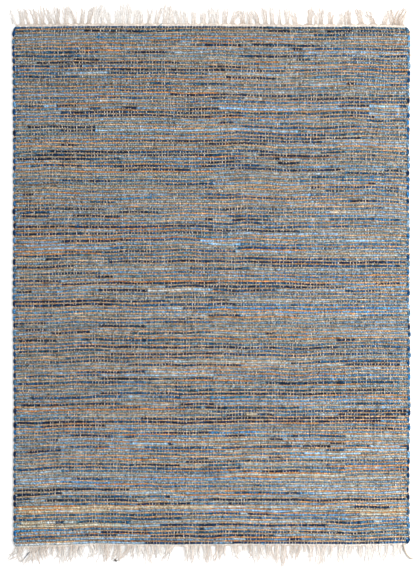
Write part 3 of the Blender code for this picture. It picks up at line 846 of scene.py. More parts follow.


# The weft, turning at both selvedges.

# half and rise are half a strip's width and height. Over a warp end a strip is thicker by swell and higher
# by lift, and under one it is thinner and lower. north, top and south are painted light and shade: the
# colour is made darker on a strip's far side, lighter on its top and darker still on its near side, standing
# in for the shade between the rows and the shadow under each strip, and uneven is how much that varies along
# it.
# A turn's middle line keeps its inside from the edge, on the left and the right.
wefts = {
    "denim": {
        "sections": 4, "half": 0.0041, "rise": 0.0030, "lift": 0.0010, "overOdd": True, "swell": 0.05,
        "north": 0.84, "south": 0.58, "top": 1.12, "uneven": 0.18,
        "turn": {
            "inside": (0.0040, 0.0040), "girth": 1.50, "raise": 0.0012,
            "height": (0.6, 1.0, 1.2, 1.0, 0.6), "out": (0.70, 1.0, 1.0, 1.0, 0.70),
            "tint": (0.42, 0.70, 0.92),
        },
    },
    "jute": {
        "sections": 4, "half": 0.0032, "rise": 0.0026, "lift": 0.0012, "overOdd": False, "swell": 0.03,
        "north": 0.72, "south": 0.54, "top": 1.12, "uneven": 0.17,
        "turn": {
            "inside": (0.0038, 0.0024), "girth": 1.05, "raise": 0.0010,
            "height": (-1.8, -1.8, -1.4, 0.4, 0.9), "out": (0.10, 0.30, 0.55, 0.96, 0.80),
            "tint": (1.06, 0.98, 0.88),
        },
    },
}
weave = {"girthSpread": 0.09, "heightSpread": 0.14, "lastGirth": 0.80, "seed": 100}
turnRound = (-0.04, 0.18, 0.50, 0.82, 1.04)         # from one pick's line to the next
turnGirths = {"large": 1.14, "small": 0.80}


def turnLook(kind, side, pick, face, rng):
    # the girth and the tone of the turn after a pick
    turn = wefts[kind]["turn"]
    girth, tone, level = turn["girth"] * rng.uniform(0.88, 1.10), face, rng.uniform(0.75, 1.20)
    if kind == "denim":
        row = rug["denimPicks"] - 1.5 - pick
        for name, listed in turnChart[side].items():
            if min(abs(row - one) for one in listed) < 1.0:
                if name in turnGirths:
                    girth = girth * turnGirths[name]
                else:
                    tone = linearColour(denim["shades"][name]["face"]) / fullLight
    deepen = np.array(turn["tint"]) ** ((0.55 if side > 0 else 1) - 0.50 * smoothStep(np.mean(tone) / 0.30))
    return girth, tone * level * deepen


tailShape = {"out": (0.70, 1.0, 0.90), "round": (0.02, 0.55, 1.15), "girth": (1.25, 1.20, 0.60)}


def layPick(kind, pick, line, order, tones, girths, rng):
    # a pick's rings from warp to warp: points, colours, girths, places on the map and the painted light and
    # shade of the corners
    look = wefts[kind]
    distance = pickDistance(kind, pick)
    place = warpPlace(order, distance)
    over = (order % 2 == 1) == look["overOdd"]
    swell = np.where(over, 1 + look["swell"], 1 - look["swell"])
    girth = girths[pick][order] * rng.normal(1, weave["girthSpread"], len(order)) * swell
    if distance > rug["length"] - rug["denimPitch"]:
        girth = girth * weave["lastGirth"]      # the last strip before the far heading is a narrow one
    lift = np.where(over, look["lift"], -look["lift"])
    height = rug["middleHeight"] + lift * rng.normal(1, weave["heightSpread"], len(order))
    height = np.maximum(height, look["rise"] * girth + rug["floorGap"])
    offset = wanderAt[2 * pick + (kind == "jute")][order]
    points = np.c_[place, distance + driftAt(place, distance) + offset, height]
    # painted light and shade, uneven along the pick: the strip's far and near sides darkened, its top
    # lightened
    noise = np.minimum(smoothNoise(rng, 3, rug["warps"], 1, 3), 1.3) * look["uneven"]
    north, top, south = (look[key] * np.exp(grain - look["uneven"] ** 2 / 2)
                         for key, grain in zip(("north", "top", "south"), noise))
    left, right = (north, south) if order[0] == 0 else (south, north)
    shades = np.stack((right, top, left, np.ones(len(order))), axis=1)
    share = (place + rug["width"] / 2) / rug["width"]
    half = share > 0.5
    starts = np.where(half, 2 * share - 1, 2 * share) * 0.96 + 0.02
    step = np.diff(starts, append=starts[-1])
    stops = starts + np.where(np.abs(step) > 0.5, np.sign(-step) * 2 / rug["warps"], step)
    return points, tones[pick][order], girth, line + half, starts, stops, shades


def tuckTail(kind, pick, line, side, lastPoint, face):
    # the loose end of the first or the last pick is tucked back along the selvedge
    back = 1 if pick == 0 else -1
    along = np.array(tailShape["round"])
    edge = side * edgeAt(side, pickDistance(kind, pick) + back * rug["pairPitch"] * along)
    reach = edge - wefts[kind]["turn"]["inside"][side > 0] - side * lastPoint[0]
    points = np.c_[lastPoint[0] + side * np.array(tailShape["out"]) * reach,
                   lastPoint[1] + back * rug["pairPitch"] * along,
                   np.full(len(along), rug["middleHeight"])]
    onMap = 0.982 if side > 0 else 0.002
    # the tail's sides carry painted shade and its top a painted highlight
    return (points, np.repeat(face[None], len(along), axis=0), np.array(tailShape["girth"]),
            np.full(len(along), line + (side > 0)), np.linspace(0, 0.012, len(along)) + onMap,
            np.linspace(0.006, 0.018, len(along)) + onMap, np.tile((0.8, 1.1, 0.8, 1.0), (len(along), 1)))


def turnRoundEdge(kind, pick, line, side, warp, fromPlace, face, rng):
    # from the last warp of a pick round the selvedge to the first warp of the next
    turn = wefts[kind]["turn"]
    distance, toDistance = pickDistance(kind, pick), pickDistance(kind, pick + 1)
    toPlace = float(warpPlace(warp, toDistance))
    row = 2 * pick + (kind == "jute")
    fromY = distance + float(driftAt(fromPlace, distance)) + wanderAt[row][warp]
    toY = toDistance + float(driftAt(toPlace, toDistance)) + wanderAt[row + 2][warp]
    along = np.array(turnRound)
    girth, tone = turnLook(kind, side, pick, face, rng)
    edge = edgeAt(side, distance + (toDistance - distance) * along)
    inside = turn["inside"][side > 0] * turn["girth"] * rng.uniform(0.86, 1.06)
    reach = side * edge - inside - side * fromPlace
    if side > 0:
        reach = reach + rng.uniform(-0.0020, 0.0016)
    x = fromPlace + (toPlace - fromPlace) * along + side * np.array(turn["out"]) * reach
    y = fromY + (toY - fromY) * along
    z = rug["middleHeight"] + turn["raise"] * np.array(turn["height"])
    z = np.maximum(z, wefts[kind]["rise"] * girth + rug["floorGap"])
    onMap = np.linspace(0, 0.018, len(along) + 1) + (0.98 if side > 0 else 0.0)
    # the turn's sides carry painted shade and its top a painted highlight
    return (np.c_[x, y, z], np.repeat(tone[None], len(along), axis=0), np.full(len(along), girth),
            np.full(len(along), line + (side > 0)), onMap[:-1], onMap[1:],
            np.tile((0.7, 1.1, 0.7, 1.0), (len(along), 1)))


def weftRun(kind, first, last, picks, tones, girths, faces):
    # a stretch of weft from pick to pick, with all that its rings need
    rng = np.random.default_rng(weave["seed"] + first)
    parts = []
    for pick in range(first, last):
        line, side = 2 * (pick - first), 1 if pick % 2 == 0 else -1
        order = np.arange(rug["warps"])[::side]
        laid = layPick(kind, pick, line, order, tones, girths, rng)
        parts.append(laid)
        if pick == 0:
            tail = tuckTail(kind, pick, line, -side, laid[0][0], faces[pick][order[0]])
            parts.insert(0, [rows[::-1] for rows in tail])
        endPoint, endFace = laid[0][-1], faces[pick][order[-1]]
        if pick == picks - 1:
            parts.append(tuckTail(kind, pick, line, side, endPoint, endFace))
        else:
            parts.append(turnRoundEdge(kind, pick, line, side, order[-1], endPoint[0], endFace, rng))
    points, *rest = (np.concatenate(column) for column in zip(*parts))
    return toFrame(points), *rest


def weaveWeft(kind, picks, tones, girths, faces, finish):
    look = wefts[kind]
    corners = ((look["half"], 0), (0, look["rise"]), (-look["half"], 0), (0, -look["rise"]))
    bounds = np.linspace(0, picks, look["sections"] + 1).round().astype(int)
    for number, (first, last) in enumerate(zip(bounds[:-1], bounds[1:])):
        run = weftRun(kind, first, last, picks, tones, girths, faces)
        points, colours, radii, lines, starts, stops, shades = run
        piece = yarnMesh(f"{kind}_weft_{number + 1}", [(points, radii)], corners)
        ringColours(piece, colours, 4, shades)
        ringMap(piece, 4, lines, starts, stops, 2 * (last - first))
        piece.data.materials.append(finish)
        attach(piece, "root")


weaveWeft("denim", rug["denimPicks"], denimTones, denimGirths, denimFaces, denimFinish)
weaveWeft("jute", rug["jutePicks"], juteTones, juteGirths, juteFaces, juteFinish)
print("weft woven")


# The warp: each end passes over one kind of weft and under the other.

warpYarn = {
    "width": 0.0016, "pastPicks": 0.0050,
    "overDenim": 0.0072, "underDenim": 0.0024, "overJute": 0.0062, "underJute": 0.0030,
    "sink": 0.00105, "sinkQuick": 0.95, "sinkSlow": 0.40, "sway": 0.0009,
    # rubbedBy is how light the weft is where its tint rubs off in full
    "onDenim": {"tone": (226, 225, 222), "rubbedBy": 0.25},
    "onJute": {"tone": (218, 194, 164), "rubbedBy": 0.60},
    "rubbed": 0.55, "rubbedLight": 1.25,
    "mottle": 0.30, "endToEnd": 0.08, "widths": (0.4, 1.6), "widthSpread": 0.22,
    "seed": 41,
}


def warpTones(picks):
    # each end shows over one kind of weft only, and has taken on its tint
    tones = np.empty((rug["warps"], picks, 3))
    for first, kind, crossed in ((0, "onDenim", denimTones), (1, "onJute", juteTones)):
        own = linearColour(warpYarn[kind]["tone"]) / fullLight
        nearest = np.clip((np.arange(picks) - first - 1) // 2, 0, len(crossed) - 1)
        under = crossed[nearest][:, first::2].transpose(1, 0, 2)
        light = under.mean(axis=2, keepdims=True)
        rubbed = warpYarn["rubbed"] * smoothStep(light / warpYarn[kind]["rubbedBy"])
        tones[first::2] = own * (1 - rubbed) + warpYarn["rubbedLight"] * under * rubbed
    return tones


def layWarp():
    rng = np.random.default_rng(warpYarn["seed"])
    # one point at each pick, and one more past the last pick at either end
    picks = rug["denimPicks"] + rug["jutePicks"] + 2
    isDenim = np.arange(picks) % 2 == 1
    distance = np.array([pickDistance("denim" if denimNext else "jute", (number - 1) // 2)
                         for number, denimNext in enumerate(isDenim)])
    distance[0] = distance[1] - warpYarn["pastPicks"]
    distance[-1] = distance[-2] + warpYarn["pastPicks"]

    def noise(overPicks):
        return smoothNoise(rng, rug["warps"], picks, 1, overPicks)

    sink = warpYarn["sink"] * (warpYarn["sinkQuick"] * noise(1) + warpYarn["sinkSlow"] * noise(5))
    sway = warpYarn["sway"] * noise(12) + warpYarn["sway"] * noise(1)
    shade = np.exp(warpYarn["mottle"] * noise(1) + warpYarn["endToEnd"] * rng.normal(size=(rug["warps"], 1)))
    runs = []
    for number in range(rug["warps"]):
        place = warpPlace(number, distance)
        over = (number % 2 == 0) == isDenim
        height = np.where(isDenim, np.where(over, warpYarn["overDenim"], warpYarn["underDenim"]),
                          np.where(over, warpYarn["overJute"], warpYarn["underJute"])) + sink[number]
        height[[0, -1]] = rug["middleHeight"]
        height = np.maximum(height, rug["floorGap"])
        rows = np.c_[place + sway[number] + rug["middleX"],
                     distance + driftAt(place, distance) + rug["middleY"] - rug["length"] / 2, height]
        runs.append((rows, rng.normal(1, warpYarn["widthSpread"], picks).clip(*warpYarn["widths"])))
    half = warpYarn["width"] / 2
    piece = yarnMesh("warp_ends", runs, ((-half, 0), (half, 0)))
    tones = warpTones(picks) * shade[:, :, None]
    ringColours(piece, np.clip(tones, 0, 0.9).reshape(-1, 3), 2)
    mapStrands(piece, 2, rug["warps"], picks)
    piece.data.materials.append(cottonFinish)
    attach(piece, "root")
    return piece


warpEnds = layWarp()
print("warp laid")

# Headings and fringes.

heading = {
    "left": -0.741, "right": 0.735, "inset": 0.003, "cords": 2, "tone": (234, 222, 210),
    "height": 0.0030, "over": 0.0006, "under": -0.0004, "sway": 0.0003,
    "half": 0.56,                                   # of a cord, as a share of its row
    "top": 0.0022, "bottom": 0.0020, "floorGap": 0.0003,
    "girthSpread": 0.12, "girths": (0.7, 1.3), "toneSpread": 0.13,
}
fringe = {
    "light": 1.20, "floorGap": 0.0002,
    # pale and tan go from the root to the tip. The tan is partly the cotton's own beige and partly painted
    # shade on the strands.
    "pale": ((237, 229, 221), (248, 244, 239), (246, 241, 236)),        # from the root to the tip
    "tan": ((198, 182, 168), (217, 204, 193), (215, 201, 189)), "tanSpread": 0.18,
    "rings": 19, "strandRadius": 0.00130, "taper": (1.0, 0.90, 0.50),
    "knotAt": 0.0045, "spreadRoot": 0.0027, "spreadTip": 0.0046, "bendTurn": 3.1, "bendSeed": 21,
    "curl": {"height": (0.0006, 0.0020), "length": (0.014, 0.034)},
    "crimp": {"height": 0.00035, "length": 0.0068},
    "height": 0.0026, "heights": (-0.0004, 0.0016), "knotRise": 0.0010, "droop": 0.45,
    "hair": {
        "rings": 7, "radius": 0.00060, "taper": (1.0, 0.8, 0.35), "reach": (0.50, 1.12), "spread": 0.0090,
        "height": 0.0008, "heights": (0.0002, 0.0026), "paleShare": 0.8,
        "curl": {"height": (0.0010, 0.0032), "length": (0.014, 0.040)},
    },
}
# The fringe at each end. The hairs are counted to a warp end, and veil is how far they spread. The strands
# start overHeading back on the heading. stray is how far a strand leans at 60 mm out, and bend is the bow of
# a bundle. lengths are shares of the bundle's reach, and tousle goes by the column in the photo.
# Each bundle of warp ends: its columns in the photo at root and tip, its reach in pixels, and how tan it is,
# a tan that is partly the cotton's own beige and partly painted shade.
farFringe = {
    "hairs": 4, "veil": 0.0055, "overHeading": 0.0, "light": 1.13, "stray": 0.0036, "bend": 0.0012,
    "lengths": (0.84, 1.18),
    "bundles": (
        (14.5, 9, 19, 0.1), (22, 20, 18, 0.5), (29, 26, 17, 0.6), (36, 32, 17, 0.8), (42.5, 40, 19, 0.8),
        (51, 48, 18, 0.6), (58, 57, 19, 0.7), (66, 67, 20, 0.8), (75.5, 70, 18, 0.7), (82, 83, 18, 0.6),
        (89, 92, 18, 0.7), (97, 96, 20, 0.0), (103, 103, 22, 0.1), (110, 107, 16, 0.0),
        (117, 117, 18, 0.0), (123, 121, 21, 0.1), (129, 128, 21, 0.1), (136, 135, 18, 0.0),
        (142, 141, 16, 0.3), (149, 151, 16, 0.3), (156.5, 160, 18, 0.5), (165, 167, 21, 0.45),
        (172.5, 170, 18, 0.4), (180, 177, 18, 0.4), (187, 184, 16, 0.4), (194, 193, 16, 0.45),
        (203.5, 203, 14, 0.45), (211, 209, 18, 0.45), (217, 216, 18, 0.4), (225, 225, 17, 0.7),
        (232, 237, 16, 0.9), (243, 241, 17, 1.0), (250, 251, 15, 0.9), (258, 254, 15, 0.8),
        (266, 264, 19, 0.6), (273, 271, 19, 0.65), (280, 279, 18, 0.7), (288, 287, 17, 0.6),
        (295.5, 293, 15, 0.8), (310, 311, 19, 1.2), (316, 316, 15, 0.9), (321, 321, 19, 1.1),
        (331, 331, 15, 1.3), (341, 342, 15, 0.7), (345.5, 346, 16, 0.8), (349.5, 348, 17, 0.9),
        (362, 358, 17, 1.1), (374, 367, 16, 1.2), (384.5, 388, 17, 0.9), (392, 391, 18, 1.1),
        (395.5, 397, 17, 1.0), (398.5, 402, 19, 1.1), (401, 407, 18, 1.1)),
    "tousle": ((14, 1.0), (90, 1.0), (97, 1.6), (110, 1.2), (235, 1.0), (245, 1.5), (255, 1.0), (390, 1.0),
               (405, 1.5)),
}
nearFringe = {
    "hairs": 4, "veil": 0.0075, "overHeading": 0.0060, "light": 1.03, "stray": 0.0046, "bend": 0.0030,
    "lengths": (0.90, 1.30),
    "bundles": (
        (15, 5, 13, 0.8), (19, 13, 14, 0.5), (24, 19, 16, 0.5), (29, 25, 16, 0.7), (34, 32, 15, 0.8),
        (38, 38, 16, 0.8), (43, 42, 14, 0.8), (48, 46, 12, 0.7), (54, 52, 11, 0.5), (59, 58, 14, 0.4),
        (64, 62, 17, 0.3), (72, 66, 17, 0.8), (78, 76, 14, 0.3), (84, 82, 14, 0.3), (90, 90, 14, 0.25),
        (96, 94, 12, 0.3), (101, 102, 17, 0.7), (106, 105, 17, 0.8), (111, 107, 15, 0.7),
        (115, 112, 16, 0.7), (119, 116, 18, 0.8), (129.5, 121, 15, 0.8), (134, 132, 14, 0.3),
        (140, 140, 14, 0.3), (147, 148, 18, 0.4), (153, 152, 14, 0.4), (159, 159, 12, 0.35),
        (167, 163, 16, 0.6), (173, 168, 8, 0.5), (187, 188, 16, 0.3), (192, 191, 18, 0.5),
        (196, 194, 13, 0.3), (200, 200, 16, 0.7), (204, 204, 14, 0.6), (209, 208, 18, 0.8),
        (218, 216, 16, 0.9), (221, 219, 13, 0.8), (225, 223, 12, 0.8), (233, 235, 14, 0.3),
        (237, 238, 13, 0.3), (245, 244, 8, 0.4), (249, 249, 15, 0.8), (254, 255, 18, 0.4),
        (258, 259, 19, 0.6), (262, 266, 15, 0.5), (267, 270, 14, 0.5), (272, 274, 16, 0.8),
        (277, 277, 18, 0.8), (284, 284, 21, 0.9), (294, 293, 14, 0.8), (300, 297, 16, 0.9),
        (304, 303, 9, 0.5), (309, 310, 17, 0.5), (313, 312, 14, 0.6), (318, 318, 21, 0.5),
        (325, 323, 18, 0.5), (332, 330, 13, 0.3), (341, 341, 17, 0.25), (346, 345, 20, 0.25),
        (352, 350, 12, 0.3), (360, 361, 14, 0.3), (368, 368, 21, 0.2), (375, 374, 13, 0.2),
        (381, 381, 15, 0.25), (387, 385, 17, 0.3), (395, 392, 17, 0.3), (399.5, 399, 12, 0.2)),
    "tousle": ((14, 2.2), (55, 2.4), (64, 1.6), (90, 1.8), (105, 1.3), (170, 1.6), (200, 1.3), (262, 1.8),
               (300, 1.4), (330, 1.2), (405, 1.2)),
}
# Ends that have come away from the rest, as points in the photo, with their girths and tones.
looseEnds = (
    {"path": ((49, 545), (44, 547.5), (39.5, 550), (34, 551.5), (28.5, 553), (26, 556.5), (23.5, 560),
              (20.5, 562)),
     "girth": 0.0024, "tone": (190, 182, 174), "coil": 0.0012},
    {"path": ((29, 552.5), (27, 555), (25.5, 557), (24, 559)),
     "girth": 0.0032, "tone": (110, 118, 130), "coil": 0.0010},
    {"path": ((42, 545.5), (38.5, 548.5), (36.5, 551), (35, 553)),
     "girth": 0.0028, "tone": (172, 150, 122), "coil": 0.0012},
    {"path": ((114.5, 560), (115.8, 560.8), (116.8, 561.6)),
     "girth": 0.0056, "tone": (84, 78, 72), "coil": 0.0006},
    {"path": ((403.6, 544), (404.4, 548), (405.4, 551.5), (407.6, 555.5), (410.4, 558), (413.2, 559)),
     "girth": 0.0066, "tone": (222, 208, 193), "coil": 0.0022},
    {"path": ((405.5, 544), (405, 547), (403, 550)),
     "girth": 0.0034, "tone": (216, 200, 184), "coil": 0.0010},
    {"path": ((261, 543.5), (264.5, 544.8), (267.5, 548)),
     "girth": 0.0036, "tone": (128, 154, 170), "coil": 0.0006},
    {"path": ((159, 26), (162, 23.8), (165, 25.5)),
     "girth": 0.0032, "tone": (116, 142, 156), "coil": 0.0004},
    {"path": ((393, 25), (394.5, 20), (397, 14), (399.5, 9)),
     "girth": 0.0027, "tone": (204, 184, 166), "coil": 0.0008},
    {"path": ((397, 25), (398, 19), (402, 13), (405.5, 9)),
     "girth": 0.0029, "tone": (198, 178, 160), "coil": 0.0010},
    {"path": ((399.5, 25.5), (401, 20), (404, 15), (407, 11)),
     "girth": 0.0027, "tone": (206, 188, 170), "coil": 0.0008},
    {"path": ((395.5, 25), (394, 19), (391.5, 13), (392, 9)),
     "girth": 0.0025, "tone": (208, 190, 174), "coil": 0.0008},
)


def endLine(outward, place):      # the Y of the field's end at a place, in the rug's own layout
    distance = rug["length"] if outward > 0 else 0.0
    return distance + driftAt(place, distance)


def headingPlace(number):
    share = np.asarray(number) / (rug["warps"] - 1)
    width = heading["right"] - heading["left"] - 2 * heading["inset"]
    return heading["left"] + heading["inset"] + width * share


def sortBundles(table):
    # where each bundle is rooted, leans and ends, how tan it is (partly its own beige, partly painted shade),
    # and which bundle each warp end joins
    rows = np.array(table["bundles"])
    root = columnPlace(rows[:, 0])
    reach = rows[:, 2] * view["pixel"] - rug["headingDepth"]
    near = np.abs(headingPlace(np.arange(rug["warps"]))[:, None] - root[None]).argmin(axis=1)
    columns, amounts = zip(*table["tousle"])
    tousle = np.interp(root, columnPlace(columns), amounts)
    rng = np.random.default_rng(fringe["bendSeed"])
    bend = table["bend"] * tousle * rng.normal(0, 1, len(rows)).clip(-1.6, 1.6)
    return {"root": root, "lean": columnPlace(rows[:, 1]) - root, "reach": reach, "tan": rows[:, 3],
            "of": near, "tousle": tousle, "bend": bend}


def curlOf(rng, look, tousle, out):
    height, length, phase = rng.uniform(*look["height"]), rng.uniform(*look["length"]), rng.uniform(0, 6.3)
    return tousle * height * np.sin(2 * np.pi * out / length + phase)


def growFringe(name, outward, table, seed):
    rng = np.random.default_rng(seed)
    bundles = sortBundles(table)
    pale, tan = (np.array([linearColour(tone) for tone in fringe[key]]) / table["light"]
                 for key in ("pale", "tan"))
    rings = fringe["rings"]
    back = np.linspace(1, 0, rings)
    runs, colours = [], []
    for number in range(rug["warps"]):
        own = bundles["of"][number]
        tousle = bundles["tousle"][own]
        fellows = np.nonzero(bundles["of"] == own)[0]
        rank = number - fellows.mean()
        middle, reach = bundles["root"][own], bundles["reach"][own]
        out = reach * rng.uniform(*table["lengths"]) * np.linspace(0, 1, rings) ** 1.15
        gathered = smoothStep(out / fringe["knotAt"])
        opening = fringe["spreadTip"] * tousle ** 0.5 - fringe["spreadRoot"]
        fan = fringe["spreadRoot"] + opening * smoothStep(out / 0.05)
        fan = fan * min(1, 5 / len(fellows)) ** 0.5
        place = headingPlace(number) * (1 - gathered) + (middle + rank * fan) * gathered
        bend = bundles["bend"][own] * np.sin(fringe["bendTurn"] * out / reach)
        place = place + bundles["lean"][own] * (out / reach) ** 1.3 + bend
        loose = smoothStep(out / 0.035)
        stray = rng.normal(0, table["stray"]) * tousle * out / 0.06
        curl = curlOf(rng, fringe["curl"], tousle, out)
        crimp = fringe["crimp"]["height"] * np.sin(
            2 * np.pi * out / fringe["crimp"]["length"] + rng.uniform(0, 6.3))
        x = place + (curl + stray) * loose + crimp
        root = float(endLine(outward, middle)) * gathered + endLine(outward, place) * (1 - gathered)
        laid = rug["headingDepth"] - table["overHeading"] * back ** 3
        y = root + outward * (rug["seamGap"] + laid + out + 0.3 * curl * loose)
        z = fringe["height"] + rng.uniform(*fringe["heights"]) * (1 - 0.5 * loose) \
            + fringe["knotRise"] * gathered * (1 - loose)
        z = z * (1 - fringe["droop"] * loose) + crimp * 0.5 + 0.4 * table["overHeading"] * back ** 2
        radius = fringe["strandRadius"] * np.interp(out / out[-1], (0, 0.75, 1), fringe["taper"]) \
            * rng.normal(1, 0.06, rings)
        z = np.maximum(z, radius + fringe["floorGap"])
        runs.append((toFrame(np.c_[x, y, z]), radius / fringe["strandRadius"]))
        # painted shadow at the knot: the strand is darkest 4 mm out, where the bundle is gathered, and paler
        # on towards the tip
        share = np.interp(out, (0, 0.004, 0.010, 0.030, 0.07), (0.6, 0.0, 0.6, 1.1, 2.0))
        darker = np.clip(bundles["tan"][own] + rng.normal(0, fringe["tanSpread"]), 0, 1)
        blend = pale * (1 - darker) + tan * darker
        blended = np.array([np.interp(share, (0, 1, 2), tones) for tones in blend.T]).T
        colours.append(blended * np.exp(rng.normal(0, 0.05) + rng.normal(0, 0.04, rings))[:, None])
    radius = fringe["strandRadius"]
    piece = yarnMesh(name, runs, ((radius, 0), (0, radius), (-radius, 0), (0, -radius)))
    ringColours(piece, np.clip(np.concatenate(colours), 0, 0.92), 4)
    mapStrands(piece, 4, rug["warps"], rings)
    piece.data.materials.append(cottonFinish)
    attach(piece, "root")
    return piece


def growHairs(name, outward, table, seed):
    # the finer ends that have come out of the twist
    rng = np.random.default_rng(seed)
    bundles = sortBundles(table)
    hair = fringe["hair"]
    share = np.linspace(0, 1, hair["rings"])
    back = 1 - share
    runs, colours = [], []
    for number in range(rug["warps"] * table["hairs"]):
        own = bundles["of"][number // table["hairs"]]
        tousle = bundles["tousle"][own]
        out = bundles["reach"][own] * rng.uniform(*hair["reach"]) * share
        place = bundles["root"][own] + rng.normal(0, table["veil"]) \
            + rng.normal(0, hair["spread"]) * tousle ** 0.5 * (out / 0.06) ** 1.2
        curl = curlOf(rng, hair["curl"], tousle, out) * smoothStep(out / 0.03)
        bend = bundles["bend"][own] * np.sin(fringe["bendTurn"] * share)
        x = place + bundles["lean"][own] * share ** 1.3 + bend + curl
        laid = rug["headingDepth"] - table["overHeading"] * back ** 3
        y = float(endLine(outward, bundles["root"][own])) + outward * (rug["seamGap"] + laid + out)
        z = hair["height"] + rng.uniform(*hair["heights"]) * (1 - 0.6 * share) \
            + 0.4 * table["overHeading"] * back ** 3
        runs.append((toFrame(np.c_[x, y, z]), np.interp(share, (0, 0.7, 1), hair["taper"])))
        # a tan hair is partly beige cotton and partly painted shade
        kind = "pale" if rng.random() < hair["paleShare"] else "tan"
        tone = linearColour(fringe[kind][1]) / table["light"]
        colours.append(np.repeat(tone[None] * rng.uniform(0.90, 1.08), hair["rings"], axis=0))
    radius = hair["radius"]
    piece = yarnMesh(name, runs, ((radius, -0.5 * radius), (0, radius), (-radius, -0.5 * radius)))
    ringColours(piece, np.clip(np.concatenate(colours), 0, 0.92), 3)
    mapStrands(piece, 3, len(runs), hair["rings"])
    piece.data.materials.append(cottonFinish)
    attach(piece, "root")
    return piece


looseTwist = {
    "rings": 28, "pitch": 0.009, "radius": 0.001, "side": 0.6, "contrast": 0.25,
    "overHeading": 0.0040,      # how much higher an end lies where it crosses the heading
}


def layLooseEnds():
    # each is a pair of threads twisted together along its path
    rings = looseTwist["rings"]
    runs, colours = [], []
    for end in looseEnds:
        path = np.array(end["path"])
        steps = np.linspace(0, len(path) - 1, rings)
        column, row = (np.interp(steps, np.arange(len(path)), path[:, axis]) for axis in (0, 1))
        column, row = (np.convolve(np.pad(line, 3, "reflect", reflect_type="odd"), np.ones(7) / 7, "valid")
                       for line in (column, row))
        x, y = columnPlace(column), rug["length"] - (row - view["fieldTop"]) * view["pixel"]
        length = np.cumsum(np.hypot(np.diff(x, prepend=x[0]), np.diff(y, prepend=y[0])))
        for half in (0, math.pi):
            turned = 2 * np.pi * length / looseTwist["pitch"] + half
            across = looseTwist["side"] * (end["coil"] * np.cos(turned))
            z = end["girth"] * 0.6 + 0.0012 + end["coil"] * np.sin(turned)
            z = np.maximum(z, end["girth"] * 0.5 + fringe["floorGap"])
            if row[0] < view["fieldBottom"]:
                z = z + looseTwist["overHeading"] * (1 - smoothStep(length / 0.02))
            radius = end["girth"] / 2 * np.interp(steps / steps[-1], (0, 0.1, 0.85, 1), (0.8, 1, 0.9, 0.4))
            runs.append((toFrame(np.c_[x + across, y + across, z]), radius / looseTwist["radius"]))
            tone = linearColour(end["tone"]) / fringe["light"]
            # painted light and shade: each thread lighter where the twist carries it to one side and darker
            # on the other
            shade = 1 + looseTwist["contrast"] * np.cos(turned)
            colours.append(np.repeat(tone[None], rings, axis=0) * shade[:, None])
    radius = looseTwist["radius"]
    piece = yarnMesh("loose_ends", runs, ((radius, 0), (0, radius), (-radius, 0), (0, -radius)))
    ringColours(piece, np.clip(np.concatenate(colours), 0, 0.92), 4)
    mapStrands(piece, 4, len(runs), rings)
    piece.data.materials.append(cottonFinish)
    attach(piece, "root")
    return piece


farStrands = growFringe("fringe_strands_far", 1, farFringe, 11)
nearStrands = growFringe("fringe_strands_near", -1, nearFringe, 12)
farHairs = growHairs("fringe_hairs_far", 1, farFringe, 11)
nearHairs = growHairs("fringe_hairs_near", -1, nearFringe, 12)
looseThreads = layLooseEnds()
print("fringes grown")


def weaveHeading(name, outward, seed):
    # cotton cords laid side by side past the last denim pick
    rng = np.random.default_rng(seed)
    depth = rug["headingDepth"] / heading["cords"]
    tone = linearColour(heading["tone"]) / fringe["light"]
    numbers = np.arange(rug["warps"])
    place = headingPlace(numbers)
    runs, colours = [], []
    for cord in range(heading["cords"]):
        sway = heading["sway"] * smoothNoise(rng, 1, rug["warps"], 1, 12)[0]
        out = rug["seamGap"] + depth * (cord + 0.5) + sway
        girth = np.clip(rng.normal(1, heading["girthSpread"], rug["warps"]), *heading["girths"])
        height = heading["height"] + np.where((numbers + cord) % 2 == 0, heading["over"], heading["under"])
        height = np.maximum(height, heading["bottom"] * girth + heading["floorGap"])
        runs.append((toFrame(np.c_[place, endLine(outward, place) + outward * out, height]), girth))
        colours.append(tone * np.exp(rng.normal(0, heading["toneSpread"], rug["warps"]))[:, None])
    half = depth * heading["half"]
    piece = yarnMesh(name, runs, ((half, 0), (0, heading["top"]), (-half, 0), (0, -heading["bottom"])))
    ringColours(piece, np.clip(np.concatenate(colours), 0, 0.92), 4)
    mapStrands(piece, 4, heading["cords"], rug["warps"])
    piece.data.materials.append(cottonFinish)
    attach(piece, "root")
    return piece


farHeading = weaveHeading("heading_far", 1, 61)
nearHeading = weaveHeading("heading_near", -1, 62)
print("headings woven")


# Frayed threads lying on the weave.

frays = {
    "count": 1900, "rings": 6, "left": -0.735, "right": 0.725, "fromEnd": 0.006,
    "thin": 0.00034, "thick": 0.00060, "shortest": 0.008, "longest": 0.030,
    "slope": 16, "bend": 0.35, "curl": 0.0005, "height": 0.0084, "heightSpread": 0.0006, "dip": 0.0034,
    "shades": {"pale": (206, 210, 210), "worn": (112, 146, 176), "navy": (20, 44, 80),
               "straw": (210, 182, 148), "rust": (180, 120, 72)},
    "mix": {"pale": 5, "worn": 2.5, "navy": 2.5, "straw": 1.5, "rust": 0.8},
    "seed": 71,
}


